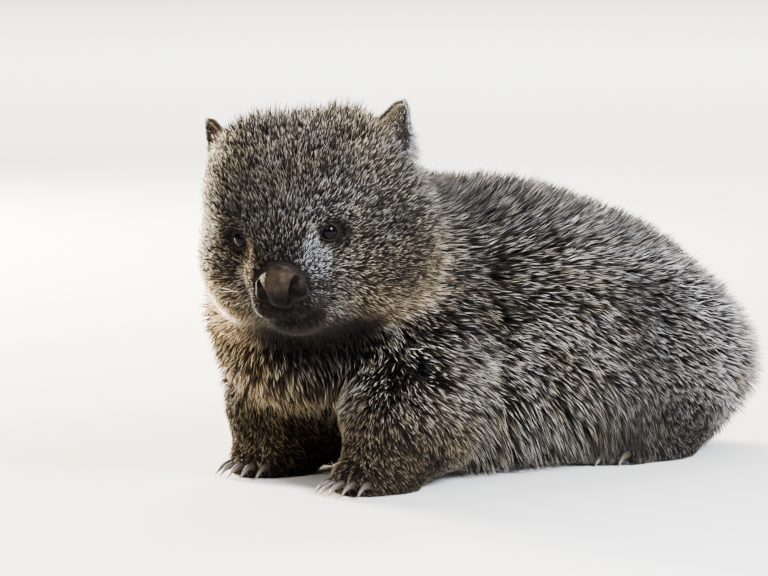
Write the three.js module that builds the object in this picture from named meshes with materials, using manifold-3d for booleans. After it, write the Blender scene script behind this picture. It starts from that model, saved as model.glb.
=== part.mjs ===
// A common wombat, life size: a young animal braced on its forelegs with its hindquarters low, its head
// turned to its left. Millimetres, +Z up. It faces -Y, its left side is +X, and the floor is z = 0.
import * as THREE from "three";
import { mergeVertices } from "three/addons/utils/BufferGeometryUtils.js";
import Module from "manifold-3d";

const wasm = await Module();
wasm.setup();

// Driving dimensions of the body, over the coat.
const WITHERS_HEIGHT = 265;
const BACK_HEIGHT = 254;
const HIP_HEIGHT = 203;
const CHEST_WIDTH = 218;
const BELLY_WIDTH = 254;
const HIP_WIDTH = 240;
const BELLY_GAP = 16; // between the belly and the floor
const SKIRT_GAP = 5; // between the long coat of the flanks and the floor
const RUMP_END = 338; // how far back the rump reaches
const FORE_FOOT = [[88, -190], [-62, -160]]; // left, then right, which stands further back
const HIND_FOOT = [[96, 140], [-96, 150]];
const LEG_RADIUS = 33;
const PAW = [28, 34, 20]; // half width, half length, height of a forefoot
const HIND_PAW = [27, 54, 18];
const FOOT_TOP = 36; // where a foot meets its leg
const TAIL_LENGTH = 20;
const TAIL_RADIUS = 13;

// Driving dimensions of the head, in its own frame: nose towards -Y, its middle between the ears and jaw.
const HEAD_AT = [58.5, -243, 229];
const HEAD_YAW = 28; // degrees to its left
const HEAD_NOD = 17; // degrees, nose down
const HEAD_TILT = 6; // degrees, left side up
const CHEEK_WIDTH = 196;
const CROWN = 90; // above the middle
const NOSE_AT = [0, -97, -19];
const NOSE_PAD = [22, 15, 17]; // half width, half depth, half height
const EYE_AT = [38.5, 10]; // out from the midline, up
const EYE_RADIUS = 8.5;
const EYE_SETBACK = 5; // of the eye's middle, behind the face
const LID = 2.2; // thickness of the lids
const EYE_SLIT = [7.2, 6.2]; // half length, half height of the opening between them
const EYE_SLANT = 14; // degrees, the outer corner higher
const EAR_AT = [76, 43, 57];
const EAR_HEIGHT = 26;
const EAR_WIDTH = 31;
const EAR_CUP = 11; // depth of the cup
const EAR_WALL = 4.4;
const EAR_LEAN = 38; // degrees, outwards
const EAR_TURN = 26; // degrees, the cup turned out from straight ahead
const EAR_TILT = -18; // degrees, backwards
const EAR_SINK = 12; // how deep its root sits in the head
const MOUTH = [25, 2.6, 5]; // half width, height and depth of the line between the lips

// Driving dimensions of the coat: flat locks, root to tip, on a core that reaches half way to their tips.
const BODY_COAT = 25; // depth from the skin to the tips
const HEAD_COAT = 16; // behind the face, which has only short fur
const CORE_SHARE = 0.5;
const LOCK_LENGTH = 98;
const LOCK_WIDTH = 55;
const LOCK_THICKNESS = 5;
const LOCK_SINK = 5; // of the root, below the core
const LOCK_SPACING = 54;
const LOCK_FLOOR_GAP = 2; // the least height of a tip
const LOCK_SEED = 10;
const LOCK_BEND = 0.5; // radians, the most that one turns to either side
const HEAD_LOCKS = 0.66; // their size on the head, as a share of those on the body
const LOCK_SHAPE = [
  { t: 0, half: 0.2, thick: 1 },
  { t: 0.27, half: 0.5, thick: 1, rise: 0.42 },
  { t: 0.62, half: 0.4, thick: 0.8, rise: 0.84 },
  { t: 1, half: 0, thick: 0, rise: 1 },
]; // along a lock: half width and thickness as shares of the whole, and its rise towards its tip's level

const CLAW_LENGTH = 19;
const CLAW_RADIUS = 3.6;
const CLAW_SINK = 6;

// About how wide the faces of each part are
const CELL = { face: 9, head: 17, neck: 24, trunk: 27, leg: 22, foot: 12, nose: 5.8, roots: 15, core: 20 };

const GAP = 0.3; // between nodes that touch
const CORE_MARGIN = 2.4; // that a lock keeps from the facets of the cores round its own
const FAR = 900; // reaches past everything

const { degToRad, clamp, lerp, smoothstep } = THREE.MathUtils;
const vec = (x = 0, y = 0, z = 0) => new THREE.Vector3(x, y, z);
const both = (make) => [make(1), make(-1)]; // left, then right
const side = (s) => (s > 0 ? 0 : 1);
const suffix = (s) => (s > 0 ? "left" : "right");

function frameAt(at, turn = [0, 0, 0], order = "ZYX") {
  const spin = new THREE.Euler(...turn.map((angle) => degToRad(angle)), order);
  return new THREE.Matrix4().compose(vec(...at), new THREE.Quaternion().setFromEuler(spin), vec(1, 1, 1));
}

// A frame whose z axis points along a direction and whose x axis stays level.
function frameAlong(at, direction) {
  const z = direction.clone().normalize();
  const x = vec(0, 0, 1).cross(z).normalize();
  return new THREE.Matrix4().makeBasis(x, z.clone().cross(x), z).setPosition(at);
}

// Flesh and coat as distance fields: negative inside, and about as large as the way to the surface.

function ellipsoid(centre, radii, turn) {
  const inverse = frameAt(centre, turn).invert();
  const [rx, ry, rz] = radii;
  const q = vec();
  return (p) => {
    q.copy(p).applyMatrix4(inverse);
    const reach = Math.hypot(q.x / rx, q.y / ry, q.z / rz);
    const slope = Math.hypot(q.x / (rx * rx), q.y / (ry * ry), q.z / (rz * rz));
    return slope < 1e-9 ? -Math.min(rx, ry, rz) : (reach * (reach - 1)) / slope;
  };
}

function taper(from, fromRadius, to, toRadius) {
  const a = vec(...from);
  const axis = vec(...to).sub(a);
  const q = vec();
  return (p) => {
    q.copy(p).sub(a);
    const t = clamp(q.dot(axis) / axis.lengthSq(), 0, 1);
    return q.addScaledVector(axis, -t).length() - lerp(fromRadius, toRadius, t);
  };
}

function softMin(a, b, softness) {
  const h = Math.max(softness - Math.abs(a - b), 0) / softness;
  return Math.min(a, b) - (h * h * softness) / 4;
}

function blend(softness, ...fields) {
  return (p) => fields.reduce((a, field) => softMin(a, field(p), softness), FAR);
}

function hollow(softness, field, ...cutters) {
  return (p) => cutters.reduce((a, cutter) => -softMin(-a, cutter(p), softness), field(p));
}

function inFrame(matrix, field) {
  const inverse = matrix.clone().invert();
  const q = vec();
  return (p) => field(q.copy(p).applyMatrix4(inverse));
}

function slopeAt(field, p, step = 0.5) {
  const q = vec();
  const along = (axis) => {
    const high = field(q.copy(p).setComponent(axis, p.getComponent(axis) + step));
    return high - field(q.copy(p).setComponent(axis, p.getComponent(axis) - step));
  };
  return vec(along(0), along(1), along(2)).normalize();
}

// The first point of the surface on the way from a point in a direction.
function hit(field, from, direction) {
  const p = from.clone();
  for (let i = 0; i < 80; i++) p.addScaledVector(direction, clamp(field(p), -4, 4) * 0.8);
  return p;
}

// A rounded mass on the midline, given by its top, bottom, width and length.
const barrel = (y, top, bottom, width, length) =>
  ellipsoid([0, y, (top + bottom) / 2], [width / 2, length / 2, (top - bottom) / 2]);

// Head, in its own frame.

const muzzle = blend(
  10,
  ellipsoid([0, -66, -22], [36, 34, 29]),
  ...both((s) => ellipsoid([s * 13, -83, -38], [17, 19, 15])), // upper lips
  ellipsoid([0, -62, -54], [23, 30, 15]), // chin
);
const eyeHollow = (s) => ellipsoid([s * (EYE_AT[0] + 7), -78, EYE_AT[1] - 2], [17, 18, 13]);
const headFlesh = hollow(
  14,
  blend(
    22,
    ...both((s) => ellipsoid([s * 30, 18, CROWN - 61], [56, 76, 61])), // skull
    ...both((s) => ellipsoid([s * (CHEEK_WIDTH / 2 - 48), 8, -28], [48, 66, 56])), // cheeks
    ellipsoid([0, -42, 6], [44, 50, 38]), // bridge
    ...both((s) => ellipsoid([s * 34, -36, 27], [22, 24, 15])), // brows
    muzzle,
    ellipsoid([0, -14, -50], [48, 58, 34]), // jaw
  ),
  ...both(eyeHollow),
);
const headFrame = frameAt(HEAD_AT, [HEAD_NOD, -HEAD_TILT, HEAD_YAW]);
const onHead = (...p) => vec(...p).applyMatrix4(headFrame);

// Trunk and neck.

const trunkField = blend(
  44,
  barrel(-102, WITHERS_HEIGHT, 46, CHEST_WIDTH, 220), // chest
  barrel(12, BACK_HEIGHT, 16, BELLY_WIDTH - 6, 280), // ribs
  barrel(96, BACK_HEIGHT - 20, BELLY_GAP, BELLY_WIDTH, 290), // belly
  ...both((s) => ellipsoid([s * 70, -4, SKIRT_GAP + 60], [53, 190, 60])), // the long coat low on the flanks
  barrel(RUMP_END - 148, HIP_HEIGHT, 14, HIP_WIDTH, 202), // hips
  barrel(RUMP_END - 90, HIP_HEIGHT - 53, 4, HIP_WIDTH - 12, 180), // seat
);
const neckField = blend(
  30,
  taper([0, -110, 180], 84, [50, -194, 220], 82),
  ellipsoid([8, -182, 156], [88, 60, 86]), // throat and the fur under it
  ellipsoid([-18, -204, 140], [76, 54, 76]), // ruff under the right cheek
);

// Legs and feet.

const toeAt = (foot, paw, k, count) => {
  const spread = (k - (count - 1) / 2) / ((count - 1) / 2); // -1 to 1 across the foot
  const [x, y] = foot;
  return [x + spread * paw[0] * 0.74, y - paw[1] * (0.86 - 0.26 * spread * spread), paw[2] * 0.5];
};
const toes = (foot, paw, count) =>
  Array.from({ length: count }, (_, k) =>
    ellipsoid(toeAt(foot, paw, k, count), [(paw[0] / count) * 1.15, 14, paw[2] * 0.62]),
  );
const paws = (foot, paw, count) =>
  blend(8, ellipsoid([foot[0], foot[1], paw[2] * 0.4], [paw[0], paw[1], paw[2]]), ...toes(foot, paw, count));

const foreLeg = (s) => {
  const [x, y] = FORE_FOOT[side(s)];
  return blend(
    26,
    ellipsoid([s * 76, s > 0 ? -130 : -142, 112], [46, 58, 84]), // shoulder and upper arm
    ellipsoid([x + s * 6, y + 48, 57], [40, 66, 50]), // elbow, with the long coat under it
    taper([x, y + 40, 92], LEG_RADIUS + 7, [x, y + 12, 30], LEG_RADIUS - 3),
    paws([x, y], PAW, 5),
  );
};
const hindLeg = (s) => {
  const [x, y] = HIND_FOOT[side(s)];
  return blend(
    26,
    ellipsoid([s * 86, 190, 78], [46, 90, 79]), // thigh
    taper([x, y + 44, 56], LEG_RADIUS + 4, [x, y + 22, 24], LEG_RADIUS - 6),
    paws([x, y], HIND_PAW, 4),
  );
};

const bodyField = blend(
  30,
  trunkField,
  neckField,
  inFrame(headFrame, headFlesh),
  ...both(foreLeg),
  ...both(hindLeg),
);

// The coat's depth, from the skin to the tips of its locks: none on the face and the feet.
const headInverse = headFrame.clone().invert();
function bodyShare(q) {
  return Math.max(smoothstep(q.y, 30, 90), smoothstep(-q.z, 80, 110)); // 0 on the head, 1 on the body
}
function coatDepth(p) {
  const q = p.clone().applyMatrix4(headInverse);
  const onHead = HEAD_COAT * smoothstep(q.y, -40, 40);
  const fromFeet = [...FORE_FOOT, ...HIND_FOOT].map(([x, y]) =>
    smoothstep(Math.hypot(p.x - x, (p.y - y) * 0.7, p.z * 0.8), 42, 85),
  );
  return lerp(onHead, BODY_COAT, bodyShare(q)) * Math.min(...fromFeet);
}
const coreField = (p) => bodyField(p) + coatDepth(p) * CORE_SHARE;

// The way the coat lies at a point: from the nose over the head, then backwards and down.
function lieAt(p, normal) {
  const q = p.clone().applyMatrix4(headInverse);
  const fromNose = q.clone().sub(vec(...NOSE_AT)).normalize().transformDirection(headFrame);
  const fall = lerp(1.5, 0.4, smoothstep(p.z, 40, 230));
  const lie = fromNose.lerp(vec(0, 1, -fall).normalize(), bodyShare(q));
  return lie.addScaledVector(normal, -lie.dot(normal)).normalize();
}

// Surfaces from fields: one point in each grid cell that the surface passes through, then evened out and
// drawn onto the field. The box closes the surface where it cuts it.

function sculpt(wholeField, low, high, cell, rounds = 3) {
  const middle = vec(...low).add(vec(...high)).multiplyScalar(0.5);
  const half = vec(...high).sub(middle).subScalar(cell * 1.5);
  const field = (p) => {
    const out = Math.max(
      Math.abs(p.x - middle.x) - half.x,
      Math.abs(p.y - middle.y) - half.y,
      Math.abs(p.z - middle.z) - half.z,
    );
    return Math.max(wholeField(p), out);
  };
  const counts = low.map((from, i) => Math.ceil((high[i] - from) / cell) + 1);
  const at = (i, j, k) => i + counts[0] * (j + counts[1] * k);
  const place = (i, j, k) => vec(low[0] + i * cell, low[1] + j * cell, low[2] + k * cell);
  const values = new Float32Array(counts[0] * counts[1] * counts[2]);
  for (let k = 0; k < counts[2]; k++) {
    for (let j = 0; j < counts[1]; j++) {
      for (let i = 0; i < counts[0]; i++) values[at(i, j, k)] = field(place(i, j, k));
    }
  }

  const corners = [0, 1, 2, 3, 4, 5, 6, 7].map((c) => [c & 1, (c >> 1) & 1, (c >> 2) & 1]);
  const edges = corners.flatMap((_, c) => [1, 2, 4].filter((bit) => !(c & bit)).map((bit) => [c, c | bit]));
  const points = [];
  const pointOf = new Map();
  for (let k = 0; k < counts[2] - 1; k++) {
    for (let j = 0; j < counts[1] - 1; j++) {
      for (let i = 0; i < counts[0] - 1; i++) {
        const value = (c) => values[at(i + corners[c][0], j + corners[c][1], k + corners[c][2])];
        const crossings = edges.filter(([a, b]) => value(a) < 0 !== value(b) < 0);
        if (!crossings.length) continue;
        const point = vec();
        for (const [a, b] of crossings) {
          point.add(vec(...corners[a]).lerp(vec(...corners[b]), value(a) / (value(a) - value(b))));
        }
        point.multiplyScalar(cell / crossings.length).add(place(i, j, k));
        pointOf.set(at(i, j, k), points.push(point) - 1);
      }
    }
  }

  const faces = [];
  const neighbours = points.map(() => new Set());
  for (let k = 1; k < counts[2] - 1; k++) {
    for (let j = 1; j < counts[1] - 1; j++) {
      for (let i = 1; i < counts[0] - 1; i++) {
        for (let axis = 0; axis < 3; axis++) {
          const step = [0, 1, 2].map((n) => (n === axis ? 1 : 0));
          const here = values[at(i, j, k)];
          const next = values[at(i + step[0], j + step[1], k + step[2])];
          if (here < 0 === next < 0) continue;
          const around = [[0, 0], [1, 0], [1, 1], [0, 1]].map(([du, dv]) => {
            const place = [i, j, k];
            place[(axis + 1) % 3] -= du;
            place[(axis + 2) % 3] -= dv;
            return pointOf.get(at(...place));
          });
          if (here > 0) around.reverse();
          around.forEach((point, n) => {
            neighbours[point].add(around[(n + 1) % 4]);
            neighbours[around[(n + 1) % 4]].add(point);
          });
          const [a, b, c, d] = around;
          const shortFirst = points[a].distanceTo(points[c]) < points[b].distanceTo(points[d]);
          faces.push(...(shortFirst ? [a, b, c, a, c, d] : [a, b, d, b, c, d]));
        }
      }
    }
  }

  for (let round = 0; round < rounds; round++) {
    const evened = points.map((point, n) => {
      const mean = vec();
      for (const m of neighbours[n]) mean.add(points[m]);
      return mean.divideScalar(neighbours[n].size).lerp(point, 0.5);
    });
    evened.forEach((point, n) => {
      points[n].copy(point).addScaledVector(slopeAt(field, point), -clamp(field(point), -cell, cell));
    });
  }
  return geometryOf(points, faces);
}

function geometryOf(points, faces) {
  const geometry = new THREE.BufferGeometry();
  geometry.setAttribute("position", new THREE.Float32BufferAttribute(points.flatMap((p) => p.toArray()), 3));
  geometry.setIndex(faces);
  return geometry;
}

// A closed skin over rings of points, all with the same count, with flat ends or a pointed last end.
function loft(rings, pointed = false) {
  const size = rings[0].length;
  const points = rings.flat();
  const faces = [];
  for (let r = 0; r + 1 < rings.length - (pointed ? 1 : 0); r++) {
    for (let i = 0; i < size; i++) {
      const [a, b] = [r * size + i, r * size + ((i + 1) % size)];
      faces.push(a, b, b + size, a, b + size, a + size);
    }
  }
  const last = (rings.length - (pointed ? 2 : 1)) * size;
  for (let i = 1; i + 1 < size; i++) faces.push(0, i + 1, i);
  if (pointed) {
    const tip = last + size;
    for (let i = 0; i < size; i++) faces.push(last + i, last + ((i + 1) % size), tip);
    return geometryOf(points.slice(0, tip + 1), faces);
  }
  for (let i = 1; i + 1 < size; i++) faces.push(last, last + i, last + i + 1);
  return geometryOf(points, faces);
}

// Numbers from 0 to 1 that come out the same each time.
function seeded(seed) {
  let state = seed;
  return () => {
    state = (state * 16807) % 2147483647;
    return state / 2147483647;
  };
}

// Joining and cutting.

function solid(geometry) {
  const bare = geometry.clone();
  bare.deleteAttribute("normal");
  bare.deleteAttribute("uv");
  const merged = mergeVertices(bare, 1e-4);
  return new wasm.Manifold(
    new wasm.Mesh({
      numProp: 3,
      vertProperties: new Float32Array(merged.attributes.position.array),
      triVerts: new Uint32Array(merged.index.array),
    }),
  );
}

function largest(manifold) {
  return manifold.decompose().reduce((a, b) => (b.volume() > a.volume() ? b : a));
}

function geometryFrom(manifold) {
  const { vertProperties, triVerts } = manifold.getMesh();
  const geometry = new THREE.BufferGeometry();
  geometry.setAttribute("position", new THREE.Float32BufferAttribute(vertProperties, 3));
  geometry.setIndex(Array.from(triVerts));
  return geometry;
}

// Everything on one side of a plane: the side its normal points away from, less half a gap.
function behind(at, normal) {
  const frame = frameAlong(at, normal);
  const block = new THREE.BoxGeometry(2 * FAR, 2 * FAR, FAR).translate(0, 0, -(FAR + GAP) / 2);
  return solid(block.applyMatrix4(frame));
}

function block(low, high, grow = 0) {
  const size = vec(...high).sub(vec(...low)).addScalar(2 * grow);
  const middle = vec(...high).add(vec(...low)).multiplyScalar(0.5);
  return solid(new THREE.BoxGeometry(...size.toArray()).translate(...middle.toArray()));
}

function ball(centre, radii, grow = 0, across = 15) {
  const size = radii.map((radius) => radius + grow);
  return solid(new THREE.SphereGeometry(1, across, (across * 2) / 3).scale(...size).translate(...centre));
}

// Where the body is parted. Each cut is a plane, or a rounded or square region round a limb.

const HEAD_CUT = { at: onHead(0, 56, 0), normal: vec(0, 0.87, -0.5).transformDirection(headFrame) };
const NECK_CUT = { at: vec(20, -148, 180), normal: vec(-0.12, 0.86, -0.5).normalize() };
const HIP_CUT = { at: vec(0, 112, 120), normal: vec(0, 1, 0.12).normalize() };
const away = (cut) => behind(cut.at, cut.normal.clone().negate());
const towards = (cut) => behind(cut.at, cut.normal);

const SHOULDER_CUT = { at: [116, -146, 82], radii: [88, 98, 108] }; // on the left side
const THIGH_CUT = { at: [132, 200, 78], radii: [82, 106, 100] };
const onSide = (s, [x, y, z]) => [s * x, y, z];
const shoulderCut = (s, grow) => ball(onSide(s, SHOULDER_CUT.at), SHOULDER_CUT.radii, grow);
const thighCut = (s, grow) => ball(onSide(s, THIGH_CUT.at), THIGH_CUT.radii, grow);
const footCut = (foot, paw, grow) => {
  const low = [foot[0] - paw[0] - 8, foot[1] - paw[1] - 16, -10];
  const high = [foot[0] + paw[0] + 8, foot[1] + paw[1] + 4, FOOT_TOP];
  return block(low, high, grow);
};
const foreFootCut = (s, grow = 0) => footCut(FORE_FOOT[side(s)], PAW, grow);
const hindFootCut = (s, grow = 0) => footCut(HIND_FOOT[side(s)], HIND_PAW, grow);
const aboveFloor = block([-FAR, -FAR, 0], [FAR, FAR, FAR]);

// Each part of the flesh, as fine as its forms need, before it is cut out.

const flesh = (low, high, cell) => solid(sculpt(coreField, low, high, cell));

// The face is finer than the back of the head; both are made past the line where they join.
function headFleshPart() {
  const field = inFrame(headInverse, coreField);
  const join = { at: onHead(0, -12, 0), normal: vec(0, 1, 0).transformDirection(headFrame) };
  const face = solid(sculpt(field, [-130, -150, -130], [130, 30, 130], CELL.face).applyMatrix4(headFrame));
  const back = solid(sculpt(field, [-160, -70, -160], [160, 170, 150], CELL.head).applyMatrix4(headFrame));
  const faceEnd = join.at.clone().addScaledVector(join.normal, 2 * GAP);
  return face.intersect(behind(faceEnd, join.normal)).add(back.intersect(away(join)));
}

const neckFlesh = () => flesh([-150, -340, 0], [220, 10, 380], CELL.neck);
const torsoFlesh = () => flesh([-190, -340, -60], [190, 220, 360], CELL.trunk);
const rumpFlesh = () => flesh([-190, 0, -60], [190, 430, 320], CELL.trunk);
const foreLegFlesh = (s) => flesh([s * 90 - 120, -320, -60], [s * 90 + 110, 20, 260], CELL.leg);
const hindLegFlesh = (s) => flesh([s * 100 - 110, 30, -60], [s * 100 + 110, 380, 250], CELL.leg);

function footFlesh(foot, paw) {
  const low = [foot[0] - paw[0] - 45, foot[1] - paw[1] - 48, -36];
  const high = [foot[0] + paw[0] + 45, foot[1] + paw[1] + 45, FOOT_TOP + 40];
  return flesh(low, high, CELL.foot);
}

// The coat's locks. Each starts in the core, follows the lie of the coat along it and rises to the coat's
// surface; one that would meet another lock, or another part, is made shorter and narrower, or left out.

function partAt(p) {
  const s = p.x > 0 ? 1 : -1;
  const ahead = (cut) => p.clone().sub(cut.at).dot(cut.normal) < 0;
  const within = (cut) => p.clone().sub(vec(...onSide(s, cut.at))).divide(vec(...cut.radii)).length() < 1;
  if (ahead(HEAD_CUT)) return "head";
  if (within(SHOULDER_CUT)) return `foreleg_${suffix(s)}`;
  if (within(THIGH_CUT)) return `hindleg_${suffix(s)}`;
  if (ahead(NECK_CUT)) return "neck";
  return ahead(HIP_CUT) ? "torso" : "hindquarters";
}

const lockScale = (p) => lerp(HEAD_LOCKS, 1, bodyShare(p.clone().applyMatrix4(headInverse)));

// The nearest point to another where the core's field has the given value.
function onLevel(p, level) {
  const q = p.clone();
  for (let i = 0; i < 4; i++) q.addScaledVector(slopeAt(coreField, q), clamp(level - coreField(q), -12, 12));
  return q;
}

// Flat below and ridged above, so each ring has three points: two edges and the ridge.
function lockShape(root, length, width, bend, grow = 0) {
  const scale = lockScale(root);
  const rings = [];
  let at = root.clone();
  for (const [k, { t, half, thick, rise }] of LOCK_SHAPE.entries()) {
    const level = k === 0 ? -LOCK_SINK : rise * coatDepth(at) * (1 - CORE_SHARE);
    at = onLevel(at, level);
    const normal = slopeAt(coreField, at);
    const along = lieAt(at, normal).applyAxisAngle(normal, bend * (t - 0.3));
    if (t === 1) {
      rings.push([at.clone().addScaledVector(along, grow)]);
      break;
    }
    const across = along.clone().cross(normal).multiplyScalar(half * width + grow);
    const deep = LOCK_THICKNESS * scale * thick;
    const low = level - deep * 0.2 - grow;
    rings.push([
      onLevel(at.clone().sub(across), low),
      at.clone().addScaledVector(normal, deep * 0.8 + grow),
      onLevel(at.clone().add(across), low),
    ]);
    at.addScaledVector(along, length * (LOCK_SHAPE[k + 1].t - t));
  }
  return loft(rings, true);
}

// Points spread evenly over the long coat, each as far as it can be from those before it.
function coatRoots() {
  const { position } = sculpt(coreField, [-200, -420, -60], [220, 440, 400], CELL.roots).attributes;
  const places = [];
  for (let i = 0; i < position.count; i++) {
    const p = vec().fromBufferAttribute(position, i);
    const longest = partAt(p) === "head" ? HEAD_COAT : BODY_COAT;
    const isUnder = slopeAt(coreField, p).z < -0.85;
    if (!isUnder && coatDepth(p) > longest * 0.62) places.push({ p, gap: FAR });
  }
  const roots = [];
  let next = places.reduce((a, b) => (b.p.z > a.p.z ? b : a));
  while (next.gap > LOCK_SPACING) {
    roots.push(next.p);
    for (const place of places) {
      const scale = (lockScale(place.p) + lockScale(next.p)) / 2;
      place.gap = Math.min(place.gap, place.p.distanceTo(next.p) / scale);
    }
    next = places.reduce((a, b) => (b.gap > a.gap ? b : a));
  }
  return roots;
}

// The locks of each part, by its name.
function makeLocks(obstacles) {
  const random = seeded(LOCK_SEED);
  const locks = {};
  const taken = [...obstacles];
  for (const root of coatRoots()) {
    const length = LOCK_LENGTH * lockScale(root) * lerp(0.85, 1.12, random());
    const width = LOCK_WIDTH * lockScale(root) * lerp(0.85, 1.1, random());
    const bend = LOCK_BEND * lerp(-1, 1, random());
    for (const [long, wide] of [[1, 1], [1, 0.8], [0.8, 0.8], [0.8, 0.6], [0.6, 0.6]]) {
      const room = solid(lockShape(root, length * long, width * wide, bend, GAP * 1.3));
      const nearFloor = room.boundingBox().min[2] < LOCK_FLOOR_GAP;
      if (nearFloor || taken.some((other) => !room.intersect(other).isEmpty())) continue;
      const lock = solid(lockShape(root, length * long, width * wide, bend));
      taken.push(lock);
      (locks[partAt(root)] ??= []).push(lock);
      break;
    }
  }
  return locks;
}

// Details of the head.

function eyePlace(s) {
  const look = vec(s * 0.52, -0.84, 0.1).normalize();
  const front = hit(headFlesh, vec(s * EYE_AT[0], -140, EYE_AT[1]), vec(0, 1, 0));
  return frameAlong(front.addScaledVector(look, -EYE_SETBACK), look).premultiply(headFrame);
}

const eyeBall = (s, grow = 0) =>
  new THREE.SphereGeometry(EYE_RADIUS + grow, 12, 9).rotateX(Math.PI / 2).applyMatrix4(eyePlace(s));

function eyeSlit(s) {
  const [long, high] = EYE_SLIT;
  const almond = new THREE.Shape()
    .moveTo(-long, 0)
    .quadraticCurveTo(0, high * 2, long, 0)
    .quadraticCurveTo(0, -high * 1.7, -long, 0);
  const prism = new THREE.ExtrudeGeometry(almond, { depth: 40, bevelEnabled: false, curveSegments: 4 });
  return solid(prism.rotateZ(degToRad(s * EYE_SLANT)).applyMatrix4(eyePlace(s)));
}

function nosePad(grow = 0) {
  const [w, d, h] = NOSE_PAD;
  const pad = blend(
    8,
    ellipsoid([0, 2, 6], [w * 0.8 + grow, d * 0.86 + grow, h * 0.72 + grow], [20, 0, 0]), // top
    ...both((s) => ellipsoid([s * w * 0.52, 0, -3], [w * 0.46 + grow, d * 0.84 + grow, h * 0.6 + grow])),
    ellipsoid([0, 1, -9], [w * 0.42 + grow, d * 0.8 + grow, h * 0.6 + grow]), // the strip down to the lip
  );
  const box = [w + 12, d + 12, h + 12];
  return sculpt(pad, box.map((v) => -v), box, CELL.nose).translate(...NOSE_AT).applyMatrix4(headFrame);
}

// The line of the mouth, cut in from the front, and the cleft from it up to the nose.
function mouthLine() {
  const [wide, high, deep] = MOUTH;
  const rings = Array.from({ length: 11 }, (_, i) => {
    const t = (i / 10) * 2 - 1;
    const from = vec(t * wide, -150, -50 + 7 * t * t);
    const lip = hit(headFlesh, from, vec(0, 1, 0));
    const half = (high / 2) * (1.05 - t * t);
    return [[-8, -half], [deep, -half * 0.4], [deep, half * 0.4], [-8, half]].map(([y, z]) =>
      lip.clone().add(vec(0, y, z)),
    );
  });
  return solid(loft(rings).applyMatrix4(headFrame));
}
function lipCleft() {
  const rings = [-36, -42, -49].map((z, i) => {
    const lip = hit(headFlesh, vec(0, -150, z), vec(0, 1, 0));
    const half = [1.6, 1.3, 1][i];
    return [[-half, -9], [half, -9], [half * 0.3, 2.6], [-half * 0.3, 2.6]].map(([x, y]) =>
      lip.clone().add(vec(x, y, 0)),
    );
  });
  return solid(loft(rings.toReversed()).applyMatrix4(headFrame));
}

function nostril(s) {
  const [w, d, h] = NOSE_PAD;
  const path = new THREE.QuadraticBezierCurve3(
    vec(s * w * 0.3, -d * 0.8, -h * 0.34),
    vec(s * w * 0.6, -d * 0.78, -h * 0.02),
    vec(s * w * 0.98, -d * 0.42, -h * 0.3),
  );
  const rings = [0, 0.33, 0.66, 1].map((t) => {
    const radius = lerp(3.2, 1.8, t);
    const centre = path.getPoint(t);
    return Array.from({ length: 6 }, (_, i) => {
      const angle = (i / 6) * 2 * Math.PI;
      return centre.clone().add(vec(0, Math.cos(angle) * 7, Math.sin(angle) * radius));
    });
  });
  const tube = solid(loft(s > 0 ? rings : rings.toReversed()).translate(...NOSE_AT).applyMatrix4(headFrame));
  return tube;
}

// A cupped leaf: the outer face, the inner face, and the rim between them.
function earShell(s, grow = 0) {
  const across = 6;
  const along = 6;
  const sheet = (depth) =>
    Array.from({ length: along + 1 }, (_, j) => {
      const v = j / along;
      const height = lerp(-EAR_SINK - grow, EAR_HEIGHT + grow, v);
      const half = (EAR_WIDTH / 2) * (1 - v ** 1.8) ** 0.7 + 2.4 + grow;
      const cup = EAR_CUP * (half / (EAR_WIDTH / 2)) * (1 - 0.3 * v);
      return Array.from({ length: across + 1 }, (_, i) => {
        const u = (i / across) * 2 - 1;
        const outwards = vec((2 * cup * u) / half, 1, 0).normalize();
        return vec(u * half, cup * (1 - u * u), height).addScaledVector(outwards, depth * (1 - 0.3 * v));
      });
    });
  const outer = sheet(EAR_WALL / 2 + grow);
  const inner = sheet(-EAR_WALL / 2 - grow);
  const rings = inner.map((row, j) => [...row, ...outer[j].toReversed()]);
  const size = rings[0].length;
  const faces = [];
  for (let j = 0; j < along; j++) {
    for (let i = 0; i < size; i++) {
      const [a, b] = [j * size + i, j * size + ((i + 1) % size)];
      faces.push(a, b, b + size, a, b + size, a + size);
    }
  }
  for (let i = 0; i < across; i++) {
    const [a, b, c, d] = [i, i + 1, size - 2 - i, size - 1 - i];
    faces.push(a, c, b, a, d, c);
    const top = along * size;
    faces.push(top + a, top + b, top + c, top + a, top + c, top + d);
  }
  const frame = frameAt([s * EAR_AT[0], EAR_AT[1], EAR_AT[2]], [EAR_TILT, s * EAR_LEAN, s * EAR_TURN]);
  return geometryOf(rings.flat(), faces).applyMatrix4(headFrame.clone().multiply(frame));
}

function claw(foot, paw, k, count, grow = 0) {
  const [x, y, z] = toeAt(foot, paw, k, count);
  const spread = (k - (count - 1) / 2) / ((count - 1) / 2);
  const start = vec(x, y - 14 + CLAW_SINK, z);
  const path = new THREE.QuadraticBezierCurve3(
    start,
    start.clone().add(vec(spread * 2, -CLAW_LENGTH * 0.6, 2)),
    start.clone().add(vec(spread * 4, -CLAW_LENGTH, 1.2 - z)),
  );
  const rings = [0, 0.35, 0.7].map((t) => {
    const centre = path.getPoint(t);
    const radius = CLAW_RADIUS * (1 - t * 0.45) + grow;
    return Array.from({ length: 5 }, (_, i) => {
      const angle = (i / 5) * 2 * Math.PI;
      return centre.clone().add(vec(Math.cos(angle) * radius * 0.8, 0, Math.sin(angle) * radius));
    });
  });
  return loft([...rings, [path.getPoint(1)]], true);
}

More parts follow.
